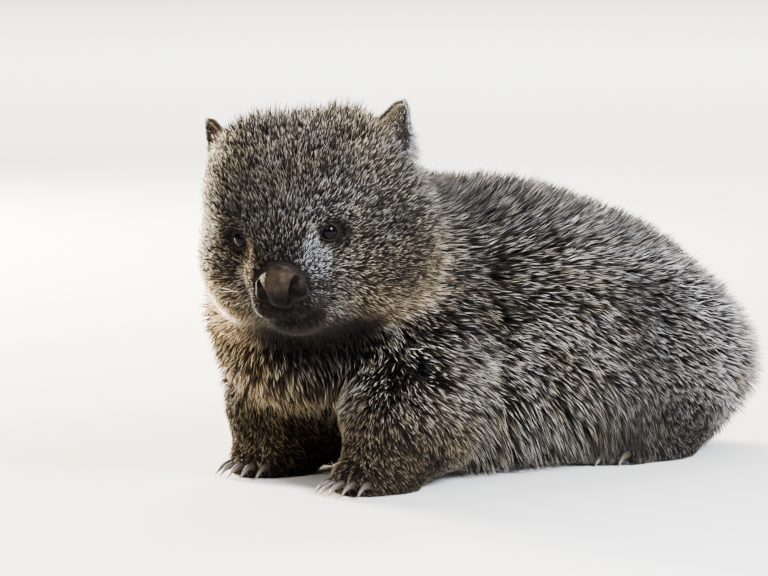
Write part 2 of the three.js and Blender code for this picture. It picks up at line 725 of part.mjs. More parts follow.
function tailShape(grow = 0) {
  const from = vec(0, RUMP_END - 30, 74);
  const path = new THREE.LineCurve3(from, from.clone().add(vec(0, TAIL_LENGTH + 26, -18)));
  const rings = [0, 0.5, 0.85, 0.97].map((t) => {
    const radius = TAIL_RADIUS * Math.sqrt(1.02 - t ** 3) + grow;
    const centre = path.getPoint(t);
    return Array.from({ length: 9 }, (_, i) => {
      const angle = (i / 9) * 2 * Math.PI;
      return centre.clone().add(vec(-Math.cos(angle) * radius, 0, Math.sin(angle) * radius));
    });
  });
  return solid(loft(rings));
}

// Putting the parts together.

const wombat = new THREE.Group();
const finish = (color, roughness) => new THREE.MeshStandardMaterial({ color, roughness, metalness: 0 });

function add(name, manifold, material) {
  const mesh = new THREE.Mesh(geometryFrom(largest(manifold)), material);
  mesh.name = name;
  wombat.add(mesh);
}

const COAT = 0x6f655b;
const COAT_TAN = 0x86694a;
const COAT_DARK = 0x3a332d;
const EAR_COAT = 0x9a6a42;
const NOSE_SKIN = 0x4a3a33;
const EYE = 0x0c0b0b;
const CLAW = 0x5a4f45;

const nose = solid(nosePad());
const nosePocket = solid(nosePad(GAP));
const ears = both((s) => solid(earShell(s)));
const earPockets = both((s) => solid(earShell(s, GAP * 1.5)));

const tail = tailShape();
const locks = makeLocks([...ears, tail]);
const roundBody = [[-220, -440, -80], [240, 460, 420]];
const wholeCore = solid(sculpt((p) => coreField(p) - CORE_MARGIN, ...roundBody, CELL.core));
const clearOf = (manifold, cuts) => cuts.reduce((a, cut) => a.subtract(cut), manifold);

// A part of the flesh, cut out of its core, with its locks, which stay clear of the cores round it.
function cutOut(name, core, region) {
  const around = wholeCore.subtract(region);
  const part = core.intersect(region).intersect(aboveFloor);
  return (locks[name] ?? []).reduce((a, lock) => a.add(lock.subtract(around)), part);
}

let head = cutOut("head", headFleshPart(), towards(HEAD_CUT));
for (const s of [1, -1]) {
  head = head.add(solid(eyeBall(s, LID)));
  head = head.subtract(eyeSlit(s)).subtract(solid(eyeBall(s, GAP))).subtract(earPockets[side(s)]);
}
head = head.subtract(nosePocket).subtract(mouthLine()).subtract(lipCleft());
add("head", head, finish(COAT, 0.9));
add("nose", nose.subtract(nostril(1)).subtract(nostril(-1)), finish(NOSE_SKIN, 0.55));
for (const s of [1, -1]) {
  add(`eye_${suffix(s)}`, solid(eyeBall(s)), finish(EYE, 0.08));
  add(`ear_${suffix(s)}`, ears[side(s)], finish(EAR_COAT, 0.9));
}

const feetCuts = [1, -1].flatMap((s) => [foreFootCut(s, GAP / 2), hindFootCut(s, GAP / 2)]);
const limbCuts = [1, -1].flatMap((s) => [shoulderCut(s, GAP / 2), thighCut(s, GAP / 2)]);
const trunkRegion = clearOf(away(HEAD_CUT), [...feetCuts, ...limbCuts]);
const behindNeck = trunkRegion.intersect(away(NECK_CUT));
add("neck", cutOut("neck", neckFlesh(), trunkRegion.intersect(towards(NECK_CUT))), finish(COAT, 0.9));
add("torso", cutOut("torso", torsoFlesh(), behindNeck.intersect(towards(HIP_CUT))), finish(COAT, 0.9));
const rump = cutOut("hindquarters", rumpFlesh(), behindNeck.intersect(away(HIP_CUT)));
add("hindquarters", rump.subtract(tailShape(GAP)), finish(COAT, 0.9));
add("tail", tail, finish(COAT, 0.9));

for (const s of [1, -1]) {
  const [foreName, hindName] = [`foreleg_${suffix(s)}`, `hindleg_${suffix(s)}`];
  const foreRegion = clearOf(shoulderCut(s, -GAP).intersect(away(HEAD_CUT)), feetCuts);
  const hindRegion = clearOf(thighCut(s, -GAP), feetCuts);
  add(foreName, cutOut(foreName, foreLegFlesh(s), foreRegion), finish(COAT_TAN, 0.9));
  add(hindName, cutOut(hindName, hindLegFlesh(s), hindRegion), finish(COAT, 0.9));
  for (const [kind, foot, paw, count, cut] of [
    ["fore", FORE_FOOT[side(s)], PAW, 5, foreFootCut(s, -GAP / 2)],
    ["hind", HIND_FOOT[side(s)], HIND_PAW, 4, hindFootCut(s, -GAP / 2)],
  ]) {
    let body = footFlesh(foot, paw).intersect(cut).intersect(aboveFloor);
    for (let k = 0; k < count; k++) {
      body = body.subtract(solid(claw(foot, paw, k, count, GAP)));
      add(`claw_${kind}_${suffix(s)}_${k + 1}`, solid(claw(foot, paw, k, count)), finish(CLAW, 0.4));
    }
    add(`${kind}foot_${suffix(s)}`, body, finish(COAT_DARK, 0.85));
  }
}

// The origin is on the floor under the middle of the animal.
const box = new THREE.Box3().setFromObject(wombat);
const centre = box.getCenter(vec());
wombat.position.set(-centre.x, -centre.y, 0);

export default wombat;
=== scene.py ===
"""A life-size wombat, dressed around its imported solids.

One skin lies inside the solids by the depth of the coat. The coat lies over it as solid tufts, in pieces by
part of the body. The eyes, lids, nose, lips, ears and claws are pieces of their own. Shapes are worked out in
millimetres in the body's own frame, which faces -Y with the animal's left at +X, and each piece is put into
the frame of the solids last.
"""

import math

import bpy
import numpy as np
from mathutils import Matrix, Vector, kdtree


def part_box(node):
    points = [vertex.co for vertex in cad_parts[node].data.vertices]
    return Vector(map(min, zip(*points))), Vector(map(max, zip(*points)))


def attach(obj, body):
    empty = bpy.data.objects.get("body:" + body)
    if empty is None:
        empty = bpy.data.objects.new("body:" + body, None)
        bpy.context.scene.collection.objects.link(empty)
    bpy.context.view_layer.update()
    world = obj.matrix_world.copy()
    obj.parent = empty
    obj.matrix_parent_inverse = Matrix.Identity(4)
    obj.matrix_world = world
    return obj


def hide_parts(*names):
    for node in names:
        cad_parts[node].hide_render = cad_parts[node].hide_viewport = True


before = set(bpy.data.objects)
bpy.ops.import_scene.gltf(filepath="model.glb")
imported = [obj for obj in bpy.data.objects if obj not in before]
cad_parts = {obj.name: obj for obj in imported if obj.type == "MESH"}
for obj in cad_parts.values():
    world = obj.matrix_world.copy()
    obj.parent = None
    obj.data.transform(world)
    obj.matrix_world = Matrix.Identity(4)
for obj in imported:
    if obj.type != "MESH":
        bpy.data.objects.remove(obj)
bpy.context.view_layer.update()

# Trunk
WITHERS_HEIGHT = 265
BACK_HEIGHT = 254
HIP_HEIGHT = 203
CHEST_WIDTH = 218
BELLY_WIDTH = 254
HIP_WIDTH = 240
BELLY_GAP = 16
SKIRT_GAP = 5
RUMP_END = 338
TAIL_RADIUS = 13

# Legs and feet, left and then right
FORE_FOOT = [(88, -190), (-62, -160)]
HIND_FOOT = [(96, 140), (-96, 150)]
LEG_RADIUS = 33
PAW = (28, 34, 20)
HIND_PAW = (27, 54, 18)
FORE_TOES = 5
HIND_TOES = 4
TOE_REACH = 14
CLAW_LENGTH = 19
CLAW_RADIUS = 3.6
CLAW_SINK = 6

# Head, in its own frame
HEAD_AT = (58.5, -243, 229)
HEAD_TURN = (17, -6, 28)
CHEEK_WIDTH = 196
CROWN = 90
NOSE_AT = (0, -97, -19)
NOSE_PAD = (22, 15, 17)
EYE_AT = (38.5, 10)
EYE_RADIUS = 8.5
EYE_SETBACK = 5
EYE_OPENING = (5.9, 6.3, 5.8)  # half length, height above and below the line between the corners
EYE_SLANT = 14  # degrees, the outer corner higher
LID_RING = 15.5  # how far from the eye's axis the lids run out into the face
EAR_AT = (76, 43, 57)
EAR_HEIGHT = 26
EAR_WIDTH = 31
EAR_CUP = 11
EAR_WALL = 2.4
EAR_TURN = (-18, 38, 26)
EAR_SINK = 12
MOUTH_WIDTH = 50
MOUTH_HEIGHT = -50  # of the line between the lips, in the head's frame
MOUTH_CURVE = 7  # how much higher its corners are

# Depth of the coat, from the skin to the tips
BODY_COAT = 25
HEAD_COAT = 16
FACE_COAT = 5
MUZZLE_COAT = 2.4
FOOT_COAT = 3.5

# Length of a hair
BODY_HAIR = 28
HEAD_HAIR = 23
CHIN_HAIR = 14
FACE_HAIR = 11
MUZZLE_HAIR = 5.5
FOOT_HAIR = 9

# Tufts
COAT_SEED = 11
UNDER_TUFTS = 136000  # short straight ones, dark for three quarters of their length
GUARD_TUFTS = 84000  # long bent ones with pale tips
EAR_TUFTS = 4000  # on each ear
WHISKERS = 7  # on each side of the muzzle
CLUMP_SIZE = 8  # tufts that share one point
STRAY = 0.24  # radians that tufts stray from the lie
GUARD_REACH = (0.8, 1.06)  # shares of the coat's depth that the tips rise to
UNDER_REACH = (0.5, 0.92)
ROOT_SINK = 0.8  # below the skin
BEND_AT = 0.55  # along a guard hair
BEND_RISE = 0.7  # of the tip's rise, on the way to the bend
BEND_REACH = 0.72  # of the tip's reach, at the bend
RUMP_OVERHANG = 11  # of the tips past the solids
BACK_OVERHANG = 5
CHIN_OVERHANG = 3
BELLY_DROP = 15  # of the tips that hang to the floor
LOWEST_TIP = 1.0  # above the floor
PIECE_LIMIT = 190000  # triangles in one piece

# Radius of a tuft at its thickest
BODY_TUFT = 0.5
HEAD_TUFT = 0.4
FACE_TUFT = 0.27
FOOT_TUFT = 0.36
EAR_TUFT = (0.16, 0.28)
WHISKER = 0.13

# Where in the colours of a hair, from root to tip, the stations of a tuft are
GUARD_BANDS = (0.0, 0.6, 1.0)
UNDER_BANDS = (0.0, 0.76)
EAR_BANDS = (0.58, 0.76, 1.0)
WHISKER_BANDS = (0.5, 0.7, 0.85)

SIDES = ((1, "left"), (-1, "right"))
FAR = 900


# Vectors, one in each row

def length(v):
    return np.sqrt(np.einsum("ij,ij->i", v, v))


def unit(v):
    return v / np.maximum(length(v), 1e-9)[:, None]


def dot(a, b):
    return np.einsum("ij,ij->i", a, b)


def lerp(a, b, t):
    return a + (b - a) * t


def smoothstep(x, low, high):
    t = np.clip((x - low) / (high - low), 0, 1)
    return t * t * (3 - 2 * t)


def column(values):
    return np.asarray(values)[:, None]


def moved(points, matrix):
    a = np.array(matrix)
    return points @ a[:3, :3].T + a[:3, 3]


def turned(vectors, matrix):
    return vectors @ np.array(matrix)[:3, :3].T


def frame_at(at, turn=(0, 0, 0)):
    x, y, z = (math.radians(angle) for angle in turn)
    spin = Matrix.Rotation(z, 4, "Z") @ Matrix.Rotation(y, 4, "Y") @ Matrix.Rotation(x, 4, "X")
    return Matrix.Translation(at) @ spin


def frame_along(at, direction):
    """A frame whose z axis points along a direction and whose x axis stays level."""
    z = Vector(direction).normalized()
    x = Vector((0, 0, 1)).cross(z).normalized()
    y = z.cross(x)
    return Matrix.Translation(at) @ Matrix((x, y, z)).transposed().to_4x4()


# Flesh and coat as distance fields: negative inside, and about as large as the way to the surface

def ellipsoid(centre, radii, turn=None):
    centre, radii = np.array(centre, float), np.array(radii, float)
    inverse = frame_at((0, 0, 0), turn).inverted() if turn else None

    def field(p):
        q = p - centre
        if inverse is not None:
            q = turned(q, inverse)
        q = q / radii
        reach = length(q)
        return reach * (reach - 1) / np.maximum(length(q / radii), 1e-9)

    return field


def taper(start, start_radius, end, end_radius):
    start = np.array(start, float)
    axis = np.array(end, float) - start

    def field(p):
        q = p - start
        t = np.clip(q @ axis / (axis @ axis), 0, 1)
        return length(q - column(t) * axis) - lerp(start_radius, end_radius, t)

    return field


def soft_min(a, b, softness):
    h = np.maximum(softness - np.abs(a - b), 0) / softness
    return np.minimum(a, b) - h * h * softness / 4


def blend(softness, *fields):
    def field(p):
        value = np.full(len(p), float(FAR))
        for part in fields:
            value = soft_min(value, part(p), softness)
        return value

    return field


def hollow(softness, solid, *cutters):
    def field(p):
        value = solid(p)
        for cutter in cutters:
            value = -soft_min(-value, cutter(p), softness)
        return value

    return field


def in_frame(matrix, part):
    inverse = matrix.inverted()
    return lambda p: part(moved(p, inverse))


def slope_at(field, p, step=0.5):
    """The field's value and the way it rises, at each point."""
    value = field(p)
    rise = [field(p + step * axis) - value for axis in np.eye(3)]
    return value, unit(np.stack(rise, axis=1))


def onto(field, p, level, rounds=3, most=12):
    """Draws points onto the surface where the field has the level's value there."""
    for _ in range(rounds):
        value, normal = slope_at(field, p)
        p = p + normal * column(np.clip(level(p) - value, -most, most))
    return p


def both(make):
    return [make(s) for s, _ in SIDES]


def of_side(pair, s):
    """The left or the right one of a pair: s is 1 for left and -1 for right."""
    return pair[0 if s > 0 else 1]


def barrel(y, top, bottom, width, long):
    return (0, y, (top + bottom) / 2), (width / 2, long / 2, (top - bottom) / 2)


# Rounded masses of the animal: their middles and radii

SKULL = both(lambda s: ((s * 30, 18, CROWN - 61), (56, 76, 61)))
CHEEKS = both(lambda s: ((s * (CHEEK_WIDTH / 2 - 48), 8, -28), (48, 66, 56)))
BRIDGE = ((0, -42, 6), (44, 50, 38))
BROWS = both(lambda s: ((s * 34, -36, 27), (22, 24, 15)))
SNOUT = ((0, -66, -22), (36, 34, 29))
UPPER_LIPS = both(lambda s: ((s * 13, -83, -38), (17, 19, 15)))
CHIN = ((0, -62, -54), (23, 30, 15))
JAW = ((0, -14, -50), (48, 58, 34))
EYE_HOLLOWS = both(lambda s: ((s * (EYE_AT[0] + 7), -78, EYE_AT[1] - 2), (17, 18, 13)))
CHEST = barrel(-102, WITHERS_HEIGHT, 46, CHEST_WIDTH, 220)
RIBS = barrel(12, BACK_HEIGHT, 16, BELLY_WIDTH - 6, 280)
BELLY = barrel(96, BACK_HEIGHT - 20, BELLY_GAP, BELLY_WIDTH, 290)
SKIRTS = both(lambda s: ((s * 70, -4, SKIRT_GAP + 60), (53, 190, 60)))
HIPS = barrel(RUMP_END - 148, HIP_HEIGHT, 14, HIP_WIDTH, 202)
SEAT = barrel(RUMP_END - 90, HIP_HEIGHT - 53, 4, HIP_WIDTH - 12, 180)
THROAT = ((8, -182, 156), (88, 60, 86))
RUFF = ((-15, -204, 140), (71, 54, 76))
NAPE = ((0, -110, 180), 84, (50, -194, 220), 82)
TAIL = ((0, RUMP_END - 8, 66), (TAIL_RADIUS, 22, TAIL_RADIUS))

head_flesh = hollow(
    14,
    blend(
        22,
        *[ellipsoid(*mass) for mass in [*SKULL, *CHEEKS, BRIDGE, *BROWS]],
        blend(10, *[ellipsoid(*mass) for mass in [SNOUT, *UPPER_LIPS, CHIN]]),
        ellipsoid(*JAW),
    ),
    *[ellipsoid(*mass) for mass in EYE_HOLLOWS],
)
head_frame = frame_at(HEAD_AT, HEAD_TURN)
head_inverse = head_frame.inverted()
trunk_field = blend(44, *[ellipsoid(*mass) for mass in [CHEST, RIBS, BELLY, *SKIRTS, HIPS, SEAT]])
neck_field = blend(30, taper(*NAPE), ellipsoid(*THROAT), ellipsoid(*RUFF))


def toe_spread(k, count):
    """Where a toe stands in its foot, from -1 to 1."""
    return (k - (count - 1) / 2) / ((count - 1) / 2)


def toe_at(foot, paw, k, count):
    """The middle of a toe. The outer toes stand further back."""
    spread = toe_spread(k, count)
    return foot[0] + spread * paw[0] * 0.74, foot[1] - paw[1] * (0.86 - 0.26 * spread * spread), paw[2] * 0.5


def paw_masses(foot, paw, count):
    sole = ((*foot, paw[2] * 0.4), paw)
    toe = (paw[0] / count * 1.15, TOE_REACH, paw[2] * 0.62)
    return [sole] + [(toe_at(foot, paw, k, count), toe) for k in range(count)]


def fore_leg(s):
    """The masses of a foreleg, the column of its lower part, and the masses of its foot."""
    x, y = of_side(FORE_FOOT, s)
    upper_arm = ((s * 76, -130 if s > 0 else -142, 112), (46, 58, 84))
    elbow = ((x + s * 6, y + 48, 57), (40, 66, 50))
    shank = ((x, y + 40, 92), LEG_RADIUS + 7, (x, y + 12, 30), LEG_RADIUS - 3)
    return [upper_arm, elbow], shank, paw_masses((x, y), PAW, FORE_TOES)


def hind_leg(s):
    x, y = of_side(HIND_FOOT, s)
    thigh = ((s * 86, 190, 78), (46, 90, 79))
    shank = ((x, y + 44, 56), LEG_RADIUS + 4, (x, y + 22, 24), LEG_RADIUS - 6)
    return [thigh], shank, paw_masses((x, y), HIND_PAW, HIND_TOES)


LEGS = [*both(fore_leg), *both(hind_leg)]


def leg_field(masses, shank, foot):
    flesh = [ellipsoid(*mass) for mass in masses]
    return blend(26, *flesh, taper(*shank), blend(8, *[ellipsoid(*mass) for mass in foot]))


head_field = in_frame(head_frame, head_flesh)
body_field = blend(30, trunk_field, neck_field, head_field, *[leg_field(*leg) for leg in LEGS])
skin_and_tail = blend(12, body_field, ellipsoid(*TAIL))


def eye_place(s):
    """The frame of an eye in the head: its middle, with z the way it looks."""
    look = Vector((s * 0.52, -0.84, 0.1)).normalized()
    p = np.array([[s * EYE_AT[0], -140, EYE_AT[1]]], float)
    for _ in range(80):
        p[:, 1] += np.clip(head_flesh(p), -4, 4) * 0.8
    return frame_along(Vector(p[0]) - look * EYE_SETBACK, look)


eye_frames = both(lambda s: head_frame @ eye_place(s))


def ear_place(s):
    """The frame of an ear, where it leaves the head: z runs up it, and its cup is open towards -Y."""
    tilt, lean, turn = EAR_TURN
    return head_frame @ frame_at((s * EAR_AT[0], *EAR_AT[1:]), (tilt, s * lean, s * turn))


nose_frame = head_frame @ Matrix.Translation(NOSE_AT)


def from_eyes(p):
    """How far each point is from the nearer eye's middle."""
    return np.minimum(*[length(p - np.array(place.translation)) for place in eye_frames])


def from_nose(p):
    return length(moved(p, nose_frame.inverted()) / (NOSE_PAD[0], NOSE_PAD[0], NOSE_PAD[2])) * NOSE_PAD[0]


def body_share(q):
    """0 on the head and 1 on the body, by the place in the head's frame."""
    return np.maximum(smoothstep(q[:, 1], 30, 90), smoothstep(-q[:, 2], 80, 110))


def foot_share(p):
    """1 on the feet and 0 on the legs above them."""
    share = np.ones(len(p))
    for x, y in FORE_FOOT + HIND_FOOT:
        away = np.sqrt((p[:, 0] - x) ** 2 + ((p[:, 1] - y) * 0.7) ** 2 + (p[:, 2] * 0.8) ** 2)
        share = np.minimum(share, smoothstep(away, 42, 85))
    return 1 - share


def coat_depth(p):
    """From the skin to the tips, in mm."""
    q = moved(p, head_inverse)
    face = lerp(MUZZLE_COAT, FACE_COAT, smoothstep(from_nose(p), 20, 52))
    face = lerp(MUZZLE_COAT, face, smoothstep(from_eyes(p), 12, 28))
    on_head = lerp(face, HEAD_COAT, smoothstep(q[:, 1], -40, 40))
    return lerp(lerp(on_head, BODY_COAT, body_share(q)), FOOT_COAT, foot_share(p))


def lattice_noise(p, size, seed):
    """Smooth noise from 0 to 1, whose patches are about as wide as size."""
    table = np.random.default_rng(seed).random(4096)
    cell = np.floor(p / size).astype(np.int64)
    t = p / size - cell
    t = t * t * (3 - 2 * t)
    total = np.zeros(len(p))
    for corner in np.ndindex(2, 2, 2):
        at = cell + corner
        value = table[(at[:, 0] * 73 + at[:, 1] * 179 + at[:, 2] * 283) % 4096]
        weight = np.prod(np.where(corner, t, 1 - t), axis=1)
        total += value * weight
    return total


def lie_at(p, normal):
    """The way the coat lies: from the nose over the head, then backwards and down."""
    q = moved(p, head_inverse)
    over_head = turned(unit(q - np.array(NOSE_AT)), head_frame)
    fall = lerp(1.5, 0.4, smoothstep(p[:, 2], 40, 230))
    over_body = unit(np.stack([np.zeros(len(p)), np.ones(len(p)), -fall], axis=1))
    lie = lerp(over_head, over_body, column(body_share(q)))
    stray = np.stack([lattice_noise(p, 38, seed) - 0.5 for seed in (21, 22, 23)], axis=1)
    lie = lie + stray * 0.6
    return unit(lie - normal * column(dot(lie, normal)))


# Rounded spots of the coat, each a middle and radii: in the head's frame, and the last in the body's

MUZZLE_PATCH = ((25, -78, -6), (10, 15, 16))  # on each side, between nose and eye
BY_EAR = ((62, 34, 66), (24, 24, 24))  # on each side
BROW = ((34, -52, 34), (24, 26, 16))
# Painted shade over the forehead and above the nose, standing in for light that falls from behind
FOREHEAD_SHADE = ((0, -52, 36), (46, 40, 34))
SHADE_ABOVE_NOSE = ((0, -90, 2), (19, 20, 12))
# The dark lips, with painted shadow under the nose round them
MOUTH_AND_SHADE_UNDER_NOSE = ((0, -88, -46), (28, 28, 21))
# Painted shade under the chin and the throat
SHADE_UNDER_CHIN = ((-8, -72, -63), (32, 32, 20))
SHADE_UNDER_THROAT = ((0, -40, -98), (66, 64, 46))
LEFT_CHEEK = ((70, -10, -18), (40, 50, 46))
SHOULDER = ((95, -110, 200), (70, 100, 90))


def within(q, spot, core, rim):
    """1 in a spot and 0 away from it. It fades from core to rim, which are shares of the spot's radii."""
    middle, radii = spot
    return 1 - smoothstep(length((q - np.array(middle)) / radii), core, rim)


def mirrored(q):
    """The same places on the animal's left."""
    return np.abs(q) * [1, 0, 0] + q * [0, 1, 1]


# The markings that skin and coat share, each from 0 to 1: warm brown, silver and near-black fur, with a
# painted highlight in the silver and painted shade in the near-black

def warm_fur(p, normal, q, head):
    """Low on the cheeks, on the chest, inside the legs, by the ears, over the crown and along the back."""
    low_cheek = smoothstep(-q[:, 2], 0, 62) * smoothstep(np.abs(q[:, 0]), 22, 60)
    right_side = smoothstep(-q[:, 0], 0, 60)
    chest = smoothstep(-p[:, 1], 120, 215) * smoothstep(60 - p[:, 0], 0, 90) * smoothstep(-q[:, 2], 50, 95)
    inner_leg = smoothstep(-p[:, 1], 60, 150) * smoothstep(100 - p[:, 2], 0, 60)
    warm = head * low_cheek * lerp(0.6, 1.0, right_side) + (1 - head) * np.maximum(chest, inner_leg * 0.6)
    warm = np.maximum(warm, 0.3 * smoothstep(normal[:, 2], 0.55, 0.95))
    warm = np.maximum(warm, 0.8 * head * within(mirrored(q), BY_EAR, 0.4, 1.2))
    warm = np.maximum(warm, 0.35 * head * smoothstep(q[:, 2], 20, 70))
    warm = warm + lerp(0.25, 0.5, head) * (lattice_noise(p, 34, 5) - 0.5)
    patch = within(mirrored(q), MUZZLE_PATCH, 0.6, 1.4)
    return np.maximum(warm, patch * head * (q[:, 0] < 0))


def silver_fur_and_highlight(p, normal, q, head):
    """Beside the nose and over the brow on the left, and more and more along the body, with a painted
    highlight on fur that faces up.
    """
    patch = within(mirrored(q), MUZZLE_PATCH, 0.6, 1.4)
    silver = np.maximum(patch * head * (q[:, 0] > 0), 0.6 * within(q, BROW, 0.5, 1.6) * head)
    # Fur that faces up gets a painted highlight: more silver in its tips
    silver = silver + 0.2 * smoothstep(normal[:, 2], 0.2, 0.9) + 0.6 * (lattice_noise(p, 26, 6) - 0.42)
    return silver + 0.42 * (1 - head) * smoothstep(p[:, 1], -150, 200)


def dark_fur_and_shade(p, normal, q, head):
    """Round the eyes, the lips, the waist and the feet, with painted shade above the nose, on the forehead,
    under the nose, chin and throat, and on the back where it faces up.
    """
    waist = smoothstep(p[:, 1], 40, 110) * (1 - smoothstep(p[:, 1], 130, 200))
    waist = waist * smoothstep(190 - p[:, 2], 0, 60)
    shares = [
        1 - smoothstep(from_eyes(p), 10, 21),
        # painted shade above the nose
        0.42 * within(q, SHADE_ABOVE_NOSE, 0.5, 1.3),
        # painted shade under the throat
        within(q, SHADE_UNDER_THROAT, 0.7, 1.25),
        # painted shade over the forehead
        0.4 * within(q, FOREHEAD_SHADE, 0.5, 1.2) * head,
        0.45 * waist,
        # painted shade on the back, where the coat faces up
        0.45 * (1 - head) * smoothstep(normal[:, 2], 0.5, 0.9),
        # the dark lips, with painted shadow under the nose
        within(q, MOUTH_AND_SHADE_UNDER_NOSE, 0.7, 1.2),
        # painted shade under the chin
        0.8 * within(q, SHADE_UNDER_CHIN, 0.7, 1.2),
        0.5 * foot_share(p),
    ]
    return np.max(shares, axis=0) + 0.28 * smoothstep(lattice_noise(p, 30, 7), 0.5, 0.85)


def markings(p, normal):
    q = moved(p, head_inverse)
    head = 1 - body_share(q)
    return [np.clip(fur_of(p, normal, q, head), 0, 1) for fur_of in (warm_fur, silver_fur_and_highlight, dark_fur_and_shade)]


# Putting pieces into the frame of the solids

_, middle_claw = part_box("claw_fore_left_3")
_, toe_y, _ = toe_at(FORE_FOOT[0], PAW, 2, FORE_TOES)
ORIGIN = np.array([
    FORE_FOOT[0][0] + CLAW_RADIUS * 0.8 - 1000 * middle_claw.x,
    toe_y - TOE_REACH + CLAW_SINK - 1000 * middle_claw.y,
    0,
])


def placed(p):
    return (np.asarray(p, float) - ORIGIN) / 1000


def read_values(items, name, width, kind=np.float32):
    """The values that items such as a mesh's vertices have under a name, one item in each row."""
    flat = np.empty(len(items) * width, kind)
    items.foreach_get(name, flat)
    return flat.reshape(-1, width)


def read_points(mesh):
    return read_values(mesh.vertices, "co", 3).astype(float)


def write_points(mesh, points):
    mesh.vertices.foreach_set("co", np.asarray(points, np.float32).ravel())
    mesh.update()


def add_attribute(mesh, name, values):
    made = mesh.attributes.new(name, "FLOAT", "POINT")
    made.data.foreach_set("value", np.asarray(values, np.float32))


def start(add_primitive, **options):
    """Adds a primitive with nothing else selected, and returns its object."""
    bpy.ops.object.select_all(action="DESELECT")
    add_primitive(**options)
    return bpy.context.object


def alone(piece):
    bpy.ops.object.select_all(action="DESELECT")
    piece.select_set(True)
    bpy.context.view_layer.objects.active = piece


def apply(piece, kind, **settings):
    alone(piece)
    modifier = piece.modifiers.new(kind.lower(), kind)
    for name, value in settings.items():
        setattr(modifier, name, value)
    bpy.ops.object.modifier_apply(modifier=modifier.name)


def merge_doubles(distance):
    """Joins the points of the active piece that lie together, and turns its faces outwards."""
    bpy.ops.object.mode_set(mode="EDIT")
    bpy.ops.mesh.select_all(action="SELECT")
    bpy.ops.mesh.remove_doubles(threshold=distance)
    bpy.ops.mesh.normals_make_consistent(inside=False)
    bpy.ops.object.mode_set(mode="OBJECT")


def settle(piece, name, material, replaced=()):
    """Names a finished piece, and ties it to the frame."""
    alone(piece)
    bpy.ops.object.transform_apply(location=True, rotation=True, scale=True)
    piece.name = name
    piece.data.name = name
    piece.data.materials.clear()
    piece.data.materials.append(material)
    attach(piece, "root")
    if replaced:
        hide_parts(*replaced)


# Materials

def colour(hex_value):
    """An sRGB hex colour as linear red, green, blue and alpha."""
    parts = [int(hex_value[i:i + 2], 16) / 255 for i in (1, 3, 5)]
    return (*[c / 12.92 if c <= 0.04045 else ((c + 0.055) / 1.055) ** 2.4 for c in parts], 1)


def add_node(tree, kind, settings=(), inputs=()):
    """Adds a node. An input takes a value or another node's output."""
    made = tree.nodes.new(kind)
    for name, value in dict(settings).items():
        setattr(made, name, value)
    for name, value in dict(inputs).items():
        if isinstance(value, bpy.types.NodeSocket):
            tree.links.new(value, made.inputs[name])
        else:
            made.inputs[name].default_value = value
    return made


def new_material(name, **surface):
    """A material with its main shader, whose inputs are given by their names in lower case."""
    material = bpy.data.materials.new(name)
    material.use_nodes = True
    shader = material.node_tree.nodes["Principled BSDF"]
    for key, value in surface.items():
        shader.inputs[key.replace("_", " ").title().replace("Ior", "IOR")].default_value = value
    return material.node_tree, shader, material


# How far across the features of each pattern are, in mm

FIBRE_SIZE = 1.11
CREASE_SIZE = 0.714
LID_BLOTCH_SIZE = 3.85
NOSE_GRAIN_SIZE = 1.11
NOSE_BLOTCH_SIZE = 5.56
EAR_BLOTCH_SIZE = 2.38
HORN_LINE_SIZE = (0.556, 8.33, 0.556)  # long ones, along the claw


def pattern_scale(size):
    """The scale at which a pattern's features are so many mm across."""
    return 1000 / size


def object_place(tree):
    return add_node(tree, "ShaderNodeTexCoord").outputs["Object"]


def noise(tree, place, size, detail):
    inputs = {"Vector": place, "Scale": pattern_scale(size), "Detail": detail}
    return add_node(tree, "ShaderNodeTexNoise", inputs=inputs).outputs["Fac"]


def cells(tree, feature, size):
    """A pattern of small cells, by the way to a cell's middle or to its edge."""
    inputs = {"Vector": object_place(tree), "Scale": pattern_scale(size)}
    return add_node(tree, "ShaderNodeTexVoronoi", {"feature": feature}, inputs).outputs["Distance"]


def add_bump(tree, shader, height, strength, depth, invert=False):
    """Lets a pattern raise the surface, or lower it, by up to a depth in mm."""
    inputs = {"Height": height, "Strength": strength, "Distance": depth / 1000}
    bump = add_node(tree, "ShaderNodeBump", {"invert": invert}, inputs)
    tree.links.new(bump.outputs["Normal"], shader.inputs["Normal"])


def ramp(tree, factor, stops):
    made = add_node(tree, "ShaderNodeValToRGB", inputs={"Fac": factor})
    elements = made.color_ramp.elements
    while len(elements) < len(stops):
        elements.new(1)
    for element, (at, hex_value) in zip(elements, stops):
        element.position = at
        element.color = colour(hex_value)
    return made.outputs["Color"]


def attribute(tree, name):
    return add_node(tree, "ShaderNodeAttribute", {"attribute_name": name}).outputs["Fac"]


def mixed(tree, factor, first, second, kind="MIX"):
    made = add_node(tree, "ShaderNodeMix", {"data_type": "RGBA", "blend_type": kind})
    for socket, value in ((made.inputs[0], factor), (made.inputs[6], first), (made.inputs[7], second)):
        if isinstance(value, bpy.types.NodeSocket):
            tree.links.new(value, socket)
        else:
            socket.default_value = value
    return made.outputs[2]


# The pale tips of these hairs are their own pale band, and a painted glint of light as well
GREY_HAIR = [(0.0, "#0c0a08"), (0.58, "#1a1611"), (0.7, "#544c40"), (0.8, "#aaa28f"), (1.0, "#c2bba9")]
SILVER_AND_HIGHLIGHT_HAIR = [(0.0, "#0e0d0d"), (0.58, "#201e1f"), (0.7, "#77777a"), (0.8, "#dcdde2"), (1.0, "#f4f5f9")]
WARM_HAIR = [(0.0, "#171009"), (0.5, "#332718"), (0.66, "#7c684a"), (0.8, "#c8b086"), (1.0, "#e8d8b6")]
DARK_AND_SHADE_HAIR = [(0.0, "#0b0907"), (0.5, "#13100d"), (0.8, "#1c1814"), (1.0, "#2c2721")]


